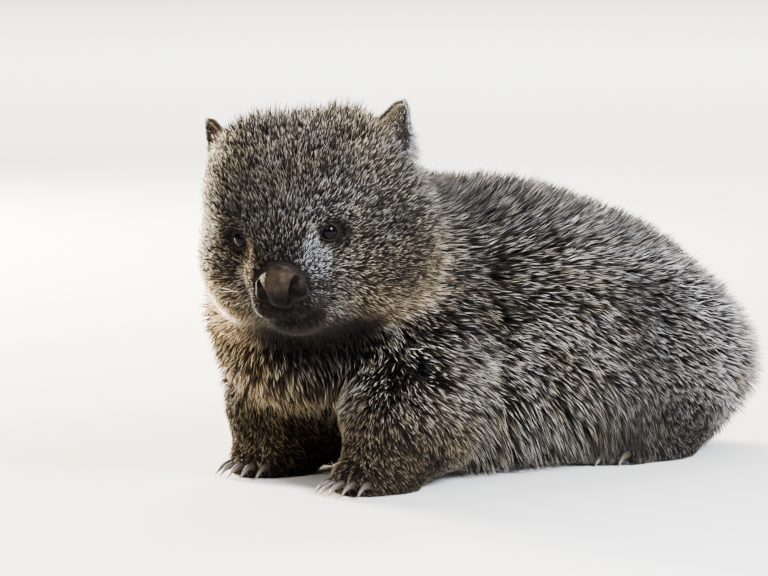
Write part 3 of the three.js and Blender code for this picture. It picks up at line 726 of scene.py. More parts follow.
def hair_colour(tree, along):
    """Hair that is dark at the root and pale towards the tip, mixed by the markings."""
    base = ramp(tree, along, GREY_HAIR)
    for name, stops in (("silver", SILVER_AND_HIGHLIGHT_HAIR), ("warm", WARM_HAIR), ("dark", DARK_AND_SHADE_HAIR)):
        base = mixed(tree, attribute(tree, name), base, ramp(tree, along, stops))
    return base


def fur_material():
    """Coarse dry hair with hardly any gloss, so the coat reads soft; its pale tips, the hair's own pale band,
    also carry the glints as a painted highlight.
    """
    tree, shader, material = new_material("guard hair", roughness=0.6, specular_ior_level=0.1)
    tone = ramp(tree, attribute(tree, "tone"), [(0.0, "#211e1c"), (0.5, "#98938e"), (1.0, "#ffffff")])
    base = mixed(tree, 1.0, hair_colour(tree, attribute(tree, "along")), tone, "MULTIPLY")
    tree.links.new(base, shader.inputs["Base Color"])
    return material


def skin_material():
    """Skin under the coat, all over fine dark underfur: a dull, deep brown shade between the tufts."""
    tree, shader, material = new_material("underfur", roughness=0.9, specular_ior_level=0.1)
    fibre = noise(tree, object_place(tree), FIBRE_SIZE, 3)
    depth = add_node(tree, "ShaderNodeMath", {"operation": "MULTIPLY"}, {0: fibre, 1: 0.6})
    tree.links.new(hair_colour(tree, depth.outputs[0]), shader.inputs["Base Color"])
    add_bump(tree, shader, fibre, 0.6, 0.8)
    return material


fur = fur_material()
underfur = skin_material()


# Skin

SKIN_VOXEL = 0.0028


def skin_seeds():
    """The masses of body and legs that the skin is started from, each as a middle and radii."""
    seeds = [CHEST, RIBS, BELLY, *SKIRTS, HIPS, SEAT, THROAT, RUFF, TAIL]
    columns = [NAPE]
    for masses, shank, foot in LEGS:
        seeds += masses + foot
        columns.append(shank)
    for low, low_radius, high, high_radius in columns:
        for t in (0, 0.33, 0.66, 1):
            middle = lerp(np.array(low, float), np.array(high, float), t)
            seeds.append((middle, (lerp(low_radius, high_radius, t),) * 3))
    return seeds


def add_ball(centre, radii, matrix):
    """A ball over a mass, whose middle and radii are given in the matrix's frame."""
    middle = moved(np.array([centre], float), matrix)
    drawn_in = np.maximum(np.array(radii) - coat_depth(middle)[0], 4) / 1000
    return start(bpy.ops.mesh.primitive_uv_sphere_add, segments=32, ring_count=20, radius=1,
                 location=placed(middle)[0], rotation=matrix.to_euler(), scale=drawn_in)


def under_coat(p):
    return -coat_depth(p)


def make_skin():
    balls = [add_ball(*seed, Matrix.Identity(4)) for seed in skin_seeds()]
    head_seeds = [*SKULL, *CHEEKS, BRIDGE, *BROWS, SNOUT, *UPPER_LIPS, CHIN, JAW]
    balls += [add_ball(*seed, head_frame) for seed in head_seeds]
    alone(balls[0])
    for ball in balls:
        ball.select_set(True)
    bpy.ops.object.join()
    skin = bpy.context.object
    bpy.ops.object.transform_apply(location=True, rotation=True, scale=True)
    apply(skin, "REMESH", mode="VOXEL", voxel_size=SKIN_VOXEL)
    apply(skin, "SMOOTH", factor=0.5, iterations=6)
    mesh = skin.data
    edges = read_values(mesh.edges, "vertices", 2, np.int32)
    points = read_points(mesh) * 1000 + ORIGIN
    points = onto(skin_and_tail, points, under_coat, rounds=5)
    for _ in range(2):
        points = onto(skin_and_tail, evened(points, edges, rounds=4), under_coat, rounds=2)
    points[:, 2] = np.maximum(points[:, 2], 0.6)
    points = eased_behind_eyes(points)
    write_points(mesh, placed(points))
    bpy.ops.object.shade_smooth()
    return skin, points


def evened(points, edges, rounds):
    """Each point drawn half way to the middle of its neighbours."""
    count = len(points)
    degree = np.bincount(edges.ravel(), minlength=count)
    for _ in range(rounds):
        total = np.zeros_like(points)
        for axis in range(3):
            total[:, axis] += np.bincount(edges[:, 0], points[edges[:, 1], axis], count)
            total[:, axis] += np.bincount(edges[:, 1], points[edges[:, 0], axis], count)
        points = lerp(points, total / column(np.maximum(degree, 1)), 0.5)
    return points


def eased_behind_eyes(points):
    """The skin is pushed in behind each eye's front, where the lids cover it."""
    for place in eye_frames:
        q = moved(points, place.inverted())
        off_axis = np.hypot(q[:, 0], q[:, 1])
        near = (off_axis < LID_RING) & (q[:, 2] > -12)
        push = (1 - smoothstep(off_axis, EYE_RADIUS, LID_RING - 1)) * 8
        q[near, 2] -= push[near]
        points = np.where(column(near), moved(q, place), points)
    return points


LIMBS = ("foreleg", "hindleg", "forefoot", "hindfoot")
FLESH = ["head", "neck", "torso", "hindquarters", "tail"]
FLESH += [f"{limb}_{side}" for limb in LIMBS for _, side in SIDES]

skin, skin_points = make_skin()
settle(skin, "skin", underfur, FLESH)

_, skin_normals = slope_at(body_field, skin_points)
for name, values in zip(("warm", "silver", "dark"), markings(skin_points, skin_normals)):
    add_attribute(skin.data, name, values)


# Lofted pieces: rings of points joined by extruding a circle

def lofted(rings, closed=True):
    """A piece through rings of equal count, in mm in the body's frame. Closed fills both ends."""
    count = len(rings[0])
    piece = start(bpy.ops.mesh.primitive_circle_add, vertices=count, radius=0.01,
                  fill_type="NGON" if closed else "NOTHING")
    bpy.ops.object.mode_set(mode="EDIT")
    bpy.ops.mesh.select_all(action="SELECT")
    for _ in rings[1:]:
        bpy.ops.mesh.extrude_region_move(TRANSFORM_OT_translate={"value": (0, 0, 0.002)})
    bpy.ops.object.mode_set(mode="OBJECT")
    write_points(piece.data, placed(np.concatenate(rings)))
    merge_doubles(1e-6)
    bpy.ops.object.shade_smooth()
    return piece


def tube_rings(path, radii, sides):
    """Rings round a path, each square to it."""
    path = np.asarray(path, float)
    ahead = unit(np.gradient(path, axis=0))
    across = unit(np.cross(ahead, np.array([0.11, 0.17, 0.98])))
    other = np.cross(ahead, across)
    angles = 2 * math.pi * np.arange(sides) / sides
    return [p + radius * (np.outer(np.cos(angles), a) + np.outer(np.sin(angles), b))
            for p, radius, a, b in zip(path, radii, across, other)]


def down_to(field, p, direction):
    """Moves points along a direction until they lie on the field's surface."""
    for _ in range(60):
        p = p + direction * column(np.clip(field(p), -4, 4) * 0.8)
    return p


def skin_level(p):
    return body_field(p) + coat_depth(p)


# Eyes and lids

IRIS_RADIUS = 6.2
PUPIL_RADIUS = 3.8
CORNEA_RISE = 0.45
LID_STEPS = 16
LID_SIDES = 56
LID_THICKNESS = 1.9
EDGE_THICKNESS = 0.9
LID_START = 22  # ahead of the eye's middle, from where the skin is looked for

# Each fold of the lids: how far from the edge, how wide and how high
UPPER_FOLDS = [(3.4, 0.7, -0.75), (4.8, 0.9, 0.35)]
LOWER_FOLDS = [(2.6, 0.6, -0.5), (4.6, 0.7, -0.4)]


def make_eye(s, side):
    place = of_side(eye_frames, s)
    eye = start(bpy.ops.mesh.primitive_uv_sphere_add, segments=64, ring_count=48, radius=EYE_RADIUS)
    points = read_points(eye.data)
    off_axis = np.hypot(points[:, 0], points[:, 1])
    front = points[:, 2] > 0
    cornea = front * (1 - smoothstep(off_axis, IRIS_RADIUS * 0.7, IRIS_RADIUS * 1.1))
    points = points * column(1 + CORNEA_RISE / EYE_RADIUS * cornea)
    add_attribute(eye.data, "iris", front * (1 - smoothstep(off_axis, IRIS_RADIUS - 0.6, IRIS_RADIUS)))
    add_attribute(eye.data, "pupil", front * (1 - smoothstep(off_axis, PUPIL_RADIUS - 0.6, PUPIL_RADIUS)))
    write_points(eye.data, placed(moved(points, place)))
    bpy.ops.object.shade_smooth()
    settle(eye, f"eyeball_{side}", wet_eye, [f"eye_{side}"])


def lid_outline(angle, s):
    """The edge of the opening between the lids, in the eye's frame: an almond with a longer inner corner."""
    long, up, down = EYE_OPENING
    x, y = np.cos(angle), np.sin(angle)
    inner = smoothstep(-s * x, 0.4, 1.0)
    high = np.where(y > 0, up, down) * np.abs(y) ** 1.15 * np.sign(y)
    wide = long * x * (1 + 0.22 * inner)
    slant = math.radians(s * EYE_SLANT)
    return wide * math.cos(slant) - high * math.sin(slant), wide * math.sin(slant) + high * math.cos(slant)


def make_lids(s, side):
    """Both lids as one sheet, from the edge on the eyeball out into the face, with their folds."""
    place = of_side(eye_frames, s)
    angle = 2 * math.pi * np.arange(LID_SIDES) / LID_SIDES
    edge_x, edge_y = lid_outline(angle, s)
    edge = np.hypot(edge_x, edge_y)
    away = np.stack([edge_x, edge_y], axis=1) / column(edge)
    touching = np.sqrt((EYE_RADIUS + 0.15) ** 2 - edge ** 2)
    above_eye = np.clip(away[:, 1], 0, 1)
    inwards = np.tile([0.0, 0.0, -1.0], (LID_SIDES, 1))
    rings, rims = [], []
    shares = np.linspace(0, 1, LID_STEPS) ** 1.35
    for k, share in enumerate(np.concatenate([[0, 0], shares])):
        reach = lerp(edge, LID_RING, share)
        flat = away * column(reach)
        ahead = np.column_stack([flat, np.full(LID_SIDES, float(LID_START))])
        on_skin = down_to(skin_level, moved(ahead, place), turned(inwards, place))
        skin_z = moved(on_skin, place.inverted())[:, 2]
        ball = np.sqrt(np.maximum((EYE_RADIUS + LID_THICKNESS) ** 2 - reach ** 2, 0))
        z = -soft_min(-ball, -(skin_z - 0.3), 2.5)
        from_edge = reach - edge
        for folds, there in ((UPPER_FOLDS, above_eye), (LOWER_FOLDS, 1 - above_eye)):
            for at, width, rise in folds:
                z = z + rise * there * np.exp(-((from_edge - at) / width) ** 2)
        if k == 0:  # the inside of the lid's edge, sunk into the eyeball
            z = touching - 0.8
            flat = away * column(edge + 0.5)
        elif k == 1:  # the edge itself, on the eyeball
            z = touching + 0.15
            flat = away * column(edge - 0.05)
        else:
            z = lerp(touching + EDGE_THICKNESS, z, smoothstep(from_edge, 0, 1.0))
            z = z - 1.6 * smoothstep(share * np.ones(LID_SIDES), 0.85, 1)
        rings.append(moved(np.column_stack([flat, z]), place))
        rims.append(np.full(LID_SIDES, 1 - smoothstep(k, 2, 5)))
    lids = lofted(rings, closed=False)
    add_attribute(lids.data, "rim", np.concatenate(rims))
    apply(lids, "SOLIDIFY", thickness=0.0006, offset=-1)
    apply(lids, "SUBSURF", levels=1, render_levels=1)
    settle(lids, f"eyelids_{side}", lid_skin)


# Nose

def mouth_height(x):
    """Height of the line between the lips, which rises to its corners."""
    return MOUTH_HEIGHT + MOUTH_CURVE * (x / (MOUTH_WIDTH / 2)) ** 2


nose_w, nose_d, nose_h = NOSE_PAD
nose_pad = blend(
    6,
    ellipsoid((0, 1, 4), (nose_w * 0.7, nose_d * 0.96, nose_h * 0.78), (16, 0, 0)),
    ellipsoid((0, 0, -8), (nose_w * 0.48, nose_d * 0.9, nose_h * 0.56)),
    *both(lambda s: taper((s * 15.5, 1, 1.5), 4.8, (s * 17, 0.5, -6.5), 4.6)),
)

NOSTRIL_RADIUS = (5.3, 1.7)  # at its lower and its upper end
NOSTRIL_STEPS = 7
NOSE_SIDES = 144


def nostril_path(s):
    """Points along the comma of a nostril, from low beside the cleft, where it is wide, up into the wing."""
    t = np.linspace(0, 1, NOSTRIL_STEPS)
    x = s * nose_w * (0.48 + 0.06 * t + 0.2 * t ** 2)
    z = nose_h * (-0.5 + 0.86 * t)
    ahead = np.column_stack([x, np.full(NOSTRIL_STEPS, -40.0), z])
    front = down_to(nose_pad, ahead, np.tile([0.0, 1.0, 0.0], (NOSTRIL_STEPS, 1)))
    return front + np.column_stack([x * 0, 2.4 - 1.9 * t, x * 0])


def nostril_field(s):
    path = nostril_path(s)
    radii = np.linspace(*NOSTRIL_RADIUS, NOSTRIL_STEPS)
    steps = zip(path, radii, path[1:], radii[1:])
    return blend(0.6, *[taper(*step) for step in steps])


cleft = taper((0, -nose_d * 1.02, -6), 0.5, (0, -nose_d * 0.9, -nose_h * 1.05), 1.4)
nose_shape = hollow(2.0, nose_pad, *both(nostril_field), cleft)


def make_nose():
    """Bare skin over gristle: a broad pad with nostrils like commas and a cleft down to the lip."""
    nose = start(bpy.ops.mesh.primitive_uv_sphere_add,
                 segments=NOSE_SIDES, ring_count=NOSE_SIDES * 2 // 3, radius=1)
    ways = unit(read_points(nose.data))
    reach = np.full(len(ways), 32.0)
    for _ in range(90):
        reach = reach - nose_shape(ways * column(reach)) * 0.7
    points = ways * column(reach)
    grain = lattice_noise(points, 1.5, 31) - 0.5 + 0.6 * (lattice_noise(points, 3.4, 32) - 0.5)
    points = points + ways * column(grain * 0.3)
    # Black round the nostrils and over the lower part: the skin's own black, and painted shade in the
    # openings and under the pad
    inside = 1 - smoothstep(np.minimum(*[field(points) for field in both(nostril_field)]), 0.8, 2.6)
    low = smoothstep(-points[:, 2] + 0.1 * np.abs(points[:, 0]), -5, 8)
    add_attribute(nose.data, "black", np.clip(np.maximum(inside, low), 0, 1))
    add_attribute(nose.data, "wing", smoothstep(np.abs(points[:, 0]), nose_w * 0.72, nose_w * 0.95))
    write_points(nose.data, placed(moved(points, nose_frame)))
    bpy.ops.object.shade_smooth()
    settle(nose, "nose_pad", nose_skin, ["nose"])


# Lips

def lip_point(x, height):
    """A point of the skin at the front of the muzzle, by its place in the head's frame."""
    p = moved(np.column_stack([x, np.full(len(x), -150.0), height]), head_frame)
    inwards = turned(np.tile([0.0, 1.0, 0.0], (len(x), 1)), head_frame)
    return down_to(skin_level, p, inwards)


LIP_RADIUS = 1.7
LIP_STEPS = 33


def make_lips():
    """Two rolls of bare skin that meet at the line of the mouth and thin out to its corners."""
    t = np.linspace(-1, 1, LIP_STEPS)
    x = t * MOUTH_WIDTH / 2
    radii = LIP_RADIUS * np.sqrt(np.maximum(1.04 - t ** 2, 0.02))
    for name, side, sink in (("lip_upper", 1, 0.2), ("lip_lower", -1, 0.5)):
        path = lip_point(x, mouth_height(x) + side * radii * 0.8)
        _, outwards = slope_at(body_field, path)
        lip = lofted(tube_rings(path - outwards * sink, radii, 10))
        settle(lip, name, lid_skin)


# Ears

EAR_ROWS = 34


def ear_surface(u, v):
    """A cupped leaf, open towards -Y: across it u runs from -1 to 1, and up it v from 0 to 1."""
    height = lerp(-EAR_SINK, EAR_HEIGHT, v)
    half = EAR_WIDTH / 2 * np.maximum(1 - v ** 1.4, 0) ** 0.8 + 2.0 * (1 - smoothstep(v, 0.85, 1))
    cup = EAR_CUP * half / (EAR_WIDTH / 2) * (1 - 0.3 * v)
    return np.column_stack([u * half, cup * (1 - u * u), height])


def ear_normal(u, v, step=1e-3):
    across = ear_surface(u + step, v) - ear_surface(u - step, v)
    up = ear_surface(u, np.minimum(v + step, 0.999)) - ear_surface(u, np.minimum(v + step, 0.999) - 2 * step)
    return unit(np.cross(up, across))


def make_ear(s, side):
    ear = start(bpy.ops.mesh.primitive_grid_add, x_subdivisions=EAR_ROWS, y_subdivisions=EAR_ROWS, size=2)
    flat = read_points(ear.data)
    u, v = flat[:, 0], (flat[:, 1] + 1) / 2
    points = ear_surface(u, v)
    points = points + column(0.5 * (lattice_noise(points, 7, 33) - 0.5)) * np.array([0, 1, 0])
    write_points(ear.data, placed(moved(points, ear_place(s))))
    merge_doubles(1e-5)
    apply(ear, "SOLIDIFY", thickness=EAR_WALL / 1000, offset=0)
    apply(ear, "SUBSURF", levels=1, render_levels=1)
    normal = read_values(ear.data.vertices, "normal", 3).astype(float)
    facing = turned(normal, ear_place(s).inverted())[:, 1]
    add_attribute(ear.data, "outside", smoothstep(facing, -0.15, 0.15))
    bpy.ops.object.shade_smooth()
    settle(ear, f"ear_leaf_{side}", ear_skin, [f"ear_{side}"])


# Claws

CLAW_DROP = 8.6
CLAW_STEPS = 10
CLAW_SIDES = 14
CLAW_SPREAD = 12  # degrees that the outer claws turn out


def claw_rings():
    """The rings of one claw, which starts inside its toe and curves down to the floor."""
    t = np.linspace(0, 1, CLAW_STEPS)
    ahead = CLAW_LENGTH * (1.1 * t * (1 - t) + t * t)
    path = np.column_stack([np.zeros(CLAW_STEPS), -ahead, 4 * t * (1 - t) - CLAW_DROP * t ** 2])
    radii = CLAW_RADIUS * np.sqrt(np.maximum(1 - t ** 1.6, 0)) * (1 - 0.25 * t)
    angles = 2 * math.pi * np.arange(CLAW_SIDES) / CLAW_SIDES
    outline = np.column_stack([0.78 * np.cos(angles), np.zeros(CLAW_SIDES), np.sin(angles)])
    return [p + r * outline for p, r in zip(path, radii)]


def from_claw_root(claw, root_y):
    """How far each point lies ahead of the claw's root, as a share of the claw's length."""
    points = read_points(claw.data) * 1000 + ORIGIN
    return (root_y - points[:, 1]) / CLAW_LENGTH


def make_claws():
    """One claw is modelled, and a copy of it is set on each toe."""
    rings = claw_rings()
    fore = ("fore", FORE_FOOT, PAW, FORE_TOES)
    hind = ("hind", HIND_FOOT, HIND_PAW, HIND_TOES)
    for kind, feet, paw, count in (fore, hind):
        for s, side in SIDES:
            for k in range(count):
                x, y, z = toe_at(of_side(feet, s), paw, k, count)
                root_y = y - TOE_REACH + CLAW_SINK
                place = frame_at((x, root_y, z), (0, 0, toe_spread(k, count) * CLAW_SPREAD))
                node = f"claw_{kind}_{side}_{k + 1}"
                claw = lofted([moved(ring, place) for ring in rings])
                add_attribute(claw.data, "tip", np.clip(from_claw_root(claw, root_y), 0, 1))
                settle(claw, f"{node}_horn", horn, [node])


# Materials of the bare parts

def wet_eye_material():
    """A living eye: a near-black iris and pupil under a clear wet front, which mirrors the lights sharply."""
    tree, shader, material = new_material("wet eye", roughness=0.04, ior=1.34, specular_ior_level=0.11)
    base = mixed(tree, attribute(tree, "iris"), colour("#080707"), colour("#060404"))
    base = mixed(tree, attribute(tree, "pupil"), base, colour("#020203"))
    tree.links.new(base, shader.inputs["Base Color"])
    return material


def lid_skin_material():
    """Bare near-black skin of lids and lips: dull and finely creased, a shade browner at the lids' edge."""
    tree, shader, material = new_material("bare lid skin", roughness=0.6, specular_ior_level=0.06)
    blotches = noise(tree, object_place(tree), LID_BLOTCH_SIZE, 4)
    base = ramp(tree, blotches, [(0.3, "#0a0807"), (0.7, "#151110")])
    base = mixed(tree, attribute(tree, "rim"), base, colour("#15110e"))
    tree.links.new(base, shader.inputs["Base Color"])
    add_bump(tree, shader, cells(tree, "DISTANCE_TO_EDGE", CREASE_SIZE), 0.5, 0.4)
    return material


def nose_skin_material():
    """Bare granular nose skin: dull brown on top, where it is dry, and black below and in the nostrils, that
    black partly the skin's own and partly painted shade under the pad and in the nostril openings.
    """
    tree, shader, material = new_material("granular nose skin", roughness=0.55, specular_ior_level=0.03)
    grain = cells(tree, "F1", NOSE_GRAIN_SIZE)
    blotches = noise(tree, object_place(tree), NOSE_BLOTCH_SIZE, 4)
    base = ramp(tree, blotches, [(0.3, "#1c1613"), (0.55, "#30271f"), (0.75, "#463a2f")])
    base = mixed(tree, attribute(tree, "wing"), base, colour("#2a231d"))
    base = mixed(tree, attribute(tree, "black"), base, colour("#060505"))
    grainy = ramp(tree, grain, [(0.0, "#ffffff"), (0.8, "#8f8a86")])
    base = mixed(tree, 0.6, base, grainy, "MULTIPLY")
    tree.links.new(base, shader.inputs["Base Color"])
    add_bump(tree, shader, grain, 0.8, 0.6, invert=True)
    return material


def ear_skin_material():
    """Thin ear leather under short fur: orange brown outside, dark grey brown in the cup."""
    tree, shader, material = new_material("furred ear leather", roughness=0.8, specular_ior_level=0.2)
    blotches = noise(tree, object_place(tree), EAR_BLOTCH_SIZE, 4)
    inside = ramp(tree, blotches, [(0.3, "#0e0b09"), (0.7, "#1c1612")])
    outside = ramp(tree, blotches, [(0.3, "#382716"), (0.7, "#5c4229")])
    base = mixed(tree, attribute(tree, "outside"), inside, outside)
    tree.links.new(base, shader.inputs["Base Color"])
    add_bump(tree, shader, blotches, 0.5, 0.6)
    return material


def horn_material():
    """Claw horn, worn smooth by digging: it shines a little, with fine lines along it and a paler tip."""
    tree, shader, material = new_material("claw horn", roughness=0.42, specular_ior_level=0.3)
    drawn_out = {"Vector": object_place(tree), "Scale": [pattern_scale(size) for size in HORN_LINE_SIZE]}
    place = add_node(tree, "ShaderNodeMapping", inputs=drawn_out).outputs[0]
    lines = noise(tree, place, 1000, 3)  # the mapping has scaled it already
    base = ramp(tree, attribute(tree, "tip"), [(0.25, "#2c2520"), (0.7, "#4d4239"), (1.0, "#7f7264")])
    grain = ramp(tree, lines, [(0.3, "#a8a29a"), (0.7, "#ffffff")])
    base = mixed(tree, 0.7, base, grain, "MULTIPLY")
    tree.links.new(base, shader.inputs["Base Color"])
    add_bump(tree, shader, lines, 0.3, 0.3)
    return material


wet_eye = wet_eye_material()
lid_skin = lid_skin_material()
nose_skin = nose_skin_material()
ear_skin = ear_skin_material()
horn = horn_material()

for s, side in SIDES:
    make_eye(s, side)
    make_lids(s, side)
    make_ear(s, side)
make_nose()
make_lips()
make_claws()


# Where the coat grows

def skin_triangles():
    """The points at the corners of each triangle of the skin, and the numbers of the corners themselves."""
    mesh = skin.data
    mesh.calc_loop_triangles()
    return [read_values(mesh.loop_triangles, name, 3, np.int32) for name in ("vertices", "loops")]


def tufts_wanted(p, normal):
    """How close the tufts stand, as a share of those on the flanks."""
    q = moved(p, head_inverse)
    head = 1 - body_share(q)
    face = head * (1 - smoothstep(q[:, 1], -45, 10))
    wanted = 1 + 1.1 * head + 1.7 * face
    wanted = lerp(wanted, 2.4, foot_share(p))
    under = smoothstep(-normal[:, 2], 0.35, 0.85)
    return wanted * lerp(1, 0.4, under * (1 - head))


def bare(p):
    """Where no fur grows: the eyes, the nose, the line of the mouth and the soles."""
    q = moved(p, head_inverse)
    off_eyes = np.full(len(p), float(FAR))
    for place in eye_frames:
        e = moved(p, place.inverted())
        off_eyes = np.minimum(off_eyes, np.where(e[:, 2] > -14, np.hypot(e[:, 0] / 1.1, e[:, 1]), FAR))
    in_nose = nose_pad(moved(p, nose_frame.inverted())) < 1.2
    on_muzzle = (q[:, 1] < -60) & (np.abs(q[:, 0]) < MOUTH_WIDTH / 2)
    in_mouth = on_muzzle & (np.abs(q[:, 2] - mouth_height(q[:, 0])) < 1.6)
    return (off_eyes < 8.6) | in_nose | in_mouth | (p[:, 2] < 2.5)


def coat_roots(rng, count):
    """Roots spread over the skin, each with the triangle and the share of its corners that it grows at."""
    corners, loops = skin_triangles()
    a, b, c = (skin_points[corners[:, i]] for i in range(3))
    cross = np.cross(b - a, c - a)
    area = length(cross) / 2
    middle = (a + b + c) / 3
    wanted = area * tufts_wanted(middle, unit(cross)) * ~bare(middle)
    total = np.cumsum(wanted) / wanted.sum()
    count = int(count * (1))
    chosen = np.searchsorted(total, (np.arange(count) + rng.random(count)) / count)
    chosen = np.minimum(chosen, len(corners) - 1)
    u, v = rng.random(count), rng.random(count)
    flip = u + v > 1
    u[flip], v[flip] = 1 - u[flip], 1 - v[flip]
    weights = np.stack([1 - u - v, u, v], axis=1)
    roots = np.einsum("ij,ijk->ik", weights, skin_points[corners[chosen]])
    return roots, loops[chosen], weights


REGIONS = ("face", "crown", "cheek", "shoulder", "ribs", "flank", "rump", "foreleg", "haunch")
PARTS = [f"{region}_{side}" for region in REGIONS for side in ("right", "left")]


def part_of(p):
    """The number in PARTS of the part of the coat that each point belongs to."""
    q = moved(p, head_inverse)
    face, crown, cheek, shoulder, ribs, flank, rump, foreleg, haunch = range(len(REGIONS))
    on_head = np.where(q[:, 1] < -28, face, np.where(q[:, 2] > 22, crown, cheek))
    behind = np.searchsorted([-95, 40, 160], p[:, 1], side="right")
    on_trunk = np.array([shoulder, ribs, flank, rump])[behind]
    on_legs = np.where(p[:, 1] < 0, foreleg, haunch)
    legs = (p[:, 2] < 62) & (np.abs(p[:, 0]) > 35)
    on_body = np.where(legs, on_legs, on_trunk)
    head = body_share(q) < 0.5
    region = np.where(head, on_head, on_body)
    left = np.where(head, q[:, 0], p[:, 0]) > 0
    return 2 * region + left


# How each tuft grows

def on_chin(q):
    """1 on the chin, by the place in the head's frame."""
    return smoothstep(-q[:, 2], 48, 62) * smoothstep(-q[:, 1], 20, 50)


def hair_length(p):
    q = moved(p, head_inverse)
    head = 1 - body_share(q)
    on_face = lerp(MUZZLE_HAIR, FACE_HAIR, smoothstep(from_nose(p), 20, 62))
    on_face = on_face * lerp(0.6, 1, smoothstep(from_eyes(p), 12, 30))
    on_face = lerp(on_face, CHIN_HAIR, on_chin(q))
    on_head = lerp(on_face, HEAD_HAIR, smoothstep(q[:, 1], -45, 35))
    return lerp(lerp(BODY_HAIR, on_head, head), FOOT_HAIR, foot_share(p))


def standing(p):
    """Where the coat stands up: over the crown, and less so round the cheeks."""
    q = moved(p, head_inverse)
    head = 1 - body_share(q)
    crown = smoothstep(q[:, 2], 40, 75) * smoothstep(q[:, 1], -40, 0)
    cheek = 0.5 * smoothstep(np.abs(q[:, 0]), 62, 84)
    return head * np.maximum(crown, cheek)


def overhang(p):
    """How far the tips run past the solids, in mm: along the back, over the rump's end and under the chin."""
    q = moved(p, head_inverse)
    on_body = body_share(q)
    back = BACK_OVERHANG * on_body * smoothstep(p[:, 2], 140, 215)
    rump = RUMP_OVERHANG * smoothstep(p[:, 1], 190, 320)
    return np.maximum(back, rump) + CHIN_OVERHANG * on_chin(q) * (1 - on_body)


def hanging(p):
    """Where the coat hangs to the floor: along the belly between the legs."""
    between = smoothstep(p[:, 1], -120, -60) * (1 - smoothstep(p[:, 1], 90, 170))
    return between * smoothstep(95 - p[:, 2], 0, 55)


def settled(p, depth_share, past=0):
    """Draws points towards a level in the coat: 0 is the solids' surface, and 1 the skin. Past is in mm."""
    value, normal = slope_at(body_field, p)
    wanted = past - coat_depth(p) * depth_share
    return p + normal * column(np.clip(wanted - value, -12, 12))


def grow(roots, rng, guard):
    """The stations of each tuft, root to tip. It leans along the lie and ends near the solids' surface.

    Guard hair has a station at its bend. Under hair is straight and shorter, and lies lower."""
    count = len(roots)
    _, normal = slope_at(body_field, roots)
    lie = lie_at(roots, normal)
    astray = rng.normal(0, STRAY, count)
    lie = unit(lie + np.cross(normal, lie) * column(astray))
    upright = standing(roots)
    reach = rng.uniform(*(GUARD_REACH if guard else UNDER_REACH), count)
    stands = (rng.random(count) < 0.03 + 0.3 * upright) & guard
    reach = np.where(stands, rng.uniform(1.05, 1.3 + 0.3 * upright, count), reach)
    full = hair_length(roots) * rng.uniform(0.8, 1.15, count) * (1 if guard else 0.8)
    high = reach * coat_depth(roots)
    along = np.sqrt(np.maximum(full ** 2 - high ** 2, (0.3 * full) ** 2)) * (1 - 0.45 * upright)
    sunk = roots - normal * ROOT_SINK
    drop = np.array([0, 0, -1]) * column(hanging(roots) * BELLY_DROP)
    rise = column(high)
    past = overhang(roots)
    if not guard:
        tip = roots + rise * normal + lie * column(along)
        tip = settled(tip, 1 - reach, past)
        return np.stack([sunk, tip + drop], axis=1), normal
    bend = roots + rise * normal * BEND_RISE + lie * column(BEND_AT * along)
    bend = settled(bend, 1 - BEND_REACH * reach)
    _, bend_normal = slope_at(body_field, bend)
    onward = lie_at(bend, bend_normal)
    onward = unit(onward + np.cross(bend_normal, onward) * column(astray))
    tip = bend + onward * column((1 - BEND_AT) * along) + bend_normal * rise * (1 - BEND_RISE)
    tip = settled(tip, 1 - reach, past)
    return np.stack([sunk, bend + drop * 0.4, tip + drop], axis=1), normal


def clumped(stations, rng):
    """Each tuft leans towards the nearest of some of the tufts, its leader, as damp or oily fur does."""
    roots = stations[:, 0]
    leaders = rng.choice(len(roots), len(roots) // CLUMP_SIZE, replace=False)
    tree = kdtree.KDTree(len(leaders))
    for k, i in enumerate(leaders):
        tree.insert(roots[i], k)
    tree.balance()
    leader = leaders[np.array([tree.find(root)[1] for root in roots])]
    on_body = body_share(moved(roots, head_inverse))
    pull = rng.uniform(0.15, 0.5, len(roots)) * lerp(0.8, 1.1, on_body)
    stations = stations.copy()
    last = stations.shape[1] - 1
    for station in range(1, last + 1):
        towards = stations[leader, station] - stations[:, station]
        stations[:, station] += towards * column(pull * (station / last) ** 1.3)
    return stations, leader


def tuft_radius(p):
    q = moved(p, head_inverse)
    body = body_share(q)
    face = (1 - body) * (1 - smoothstep(q[:, 1], -45, 30))
    return lerp(lerp(lerp(HEAD_TUFT, BODY_TUFT, body), FACE_TUFT, face), FOOT_TUFT, foot_share(p))


# Tufts as meshes

TUFT_SIDES = 3
UV_PATCH = 0.003  # of the unwrap, across one tuft


def tuft_points(stations, radii):
    """The points of closed tufts: a ring at each station but the last, which is the tip."""
    count, rows = stations.shape[:2]
    rings = rows - 1
    points = np.empty((count, rings * TUFT_SIDES + 1, 3))
    for ring in range(rings):
        ahead = unit(stations[:, ring + 1] - stations[:, max(ring - 1, 0)])
        across = unit(np.cross(ahead, np.array([0.13, 0.21, 0.97])))
        other = np.cross(ahead, across)
        radius = column(radii * (1.0 if ring == rings - 1 else 0.75))
        for k in range(TUFT_SIDES):
            angle = 2 * math.pi * k / TUFT_SIDES
            way = across * math.cos(angle) + other * math.sin(angle)
            points[:, ring * TUFT_SIDES + k] = stations[:, ring] + way * radius
    points[:, -1] = stations[:, -1]
    points[:, :, 2] = np.maximum(points[:, :, 2], LOWEST_TIP)
    return points


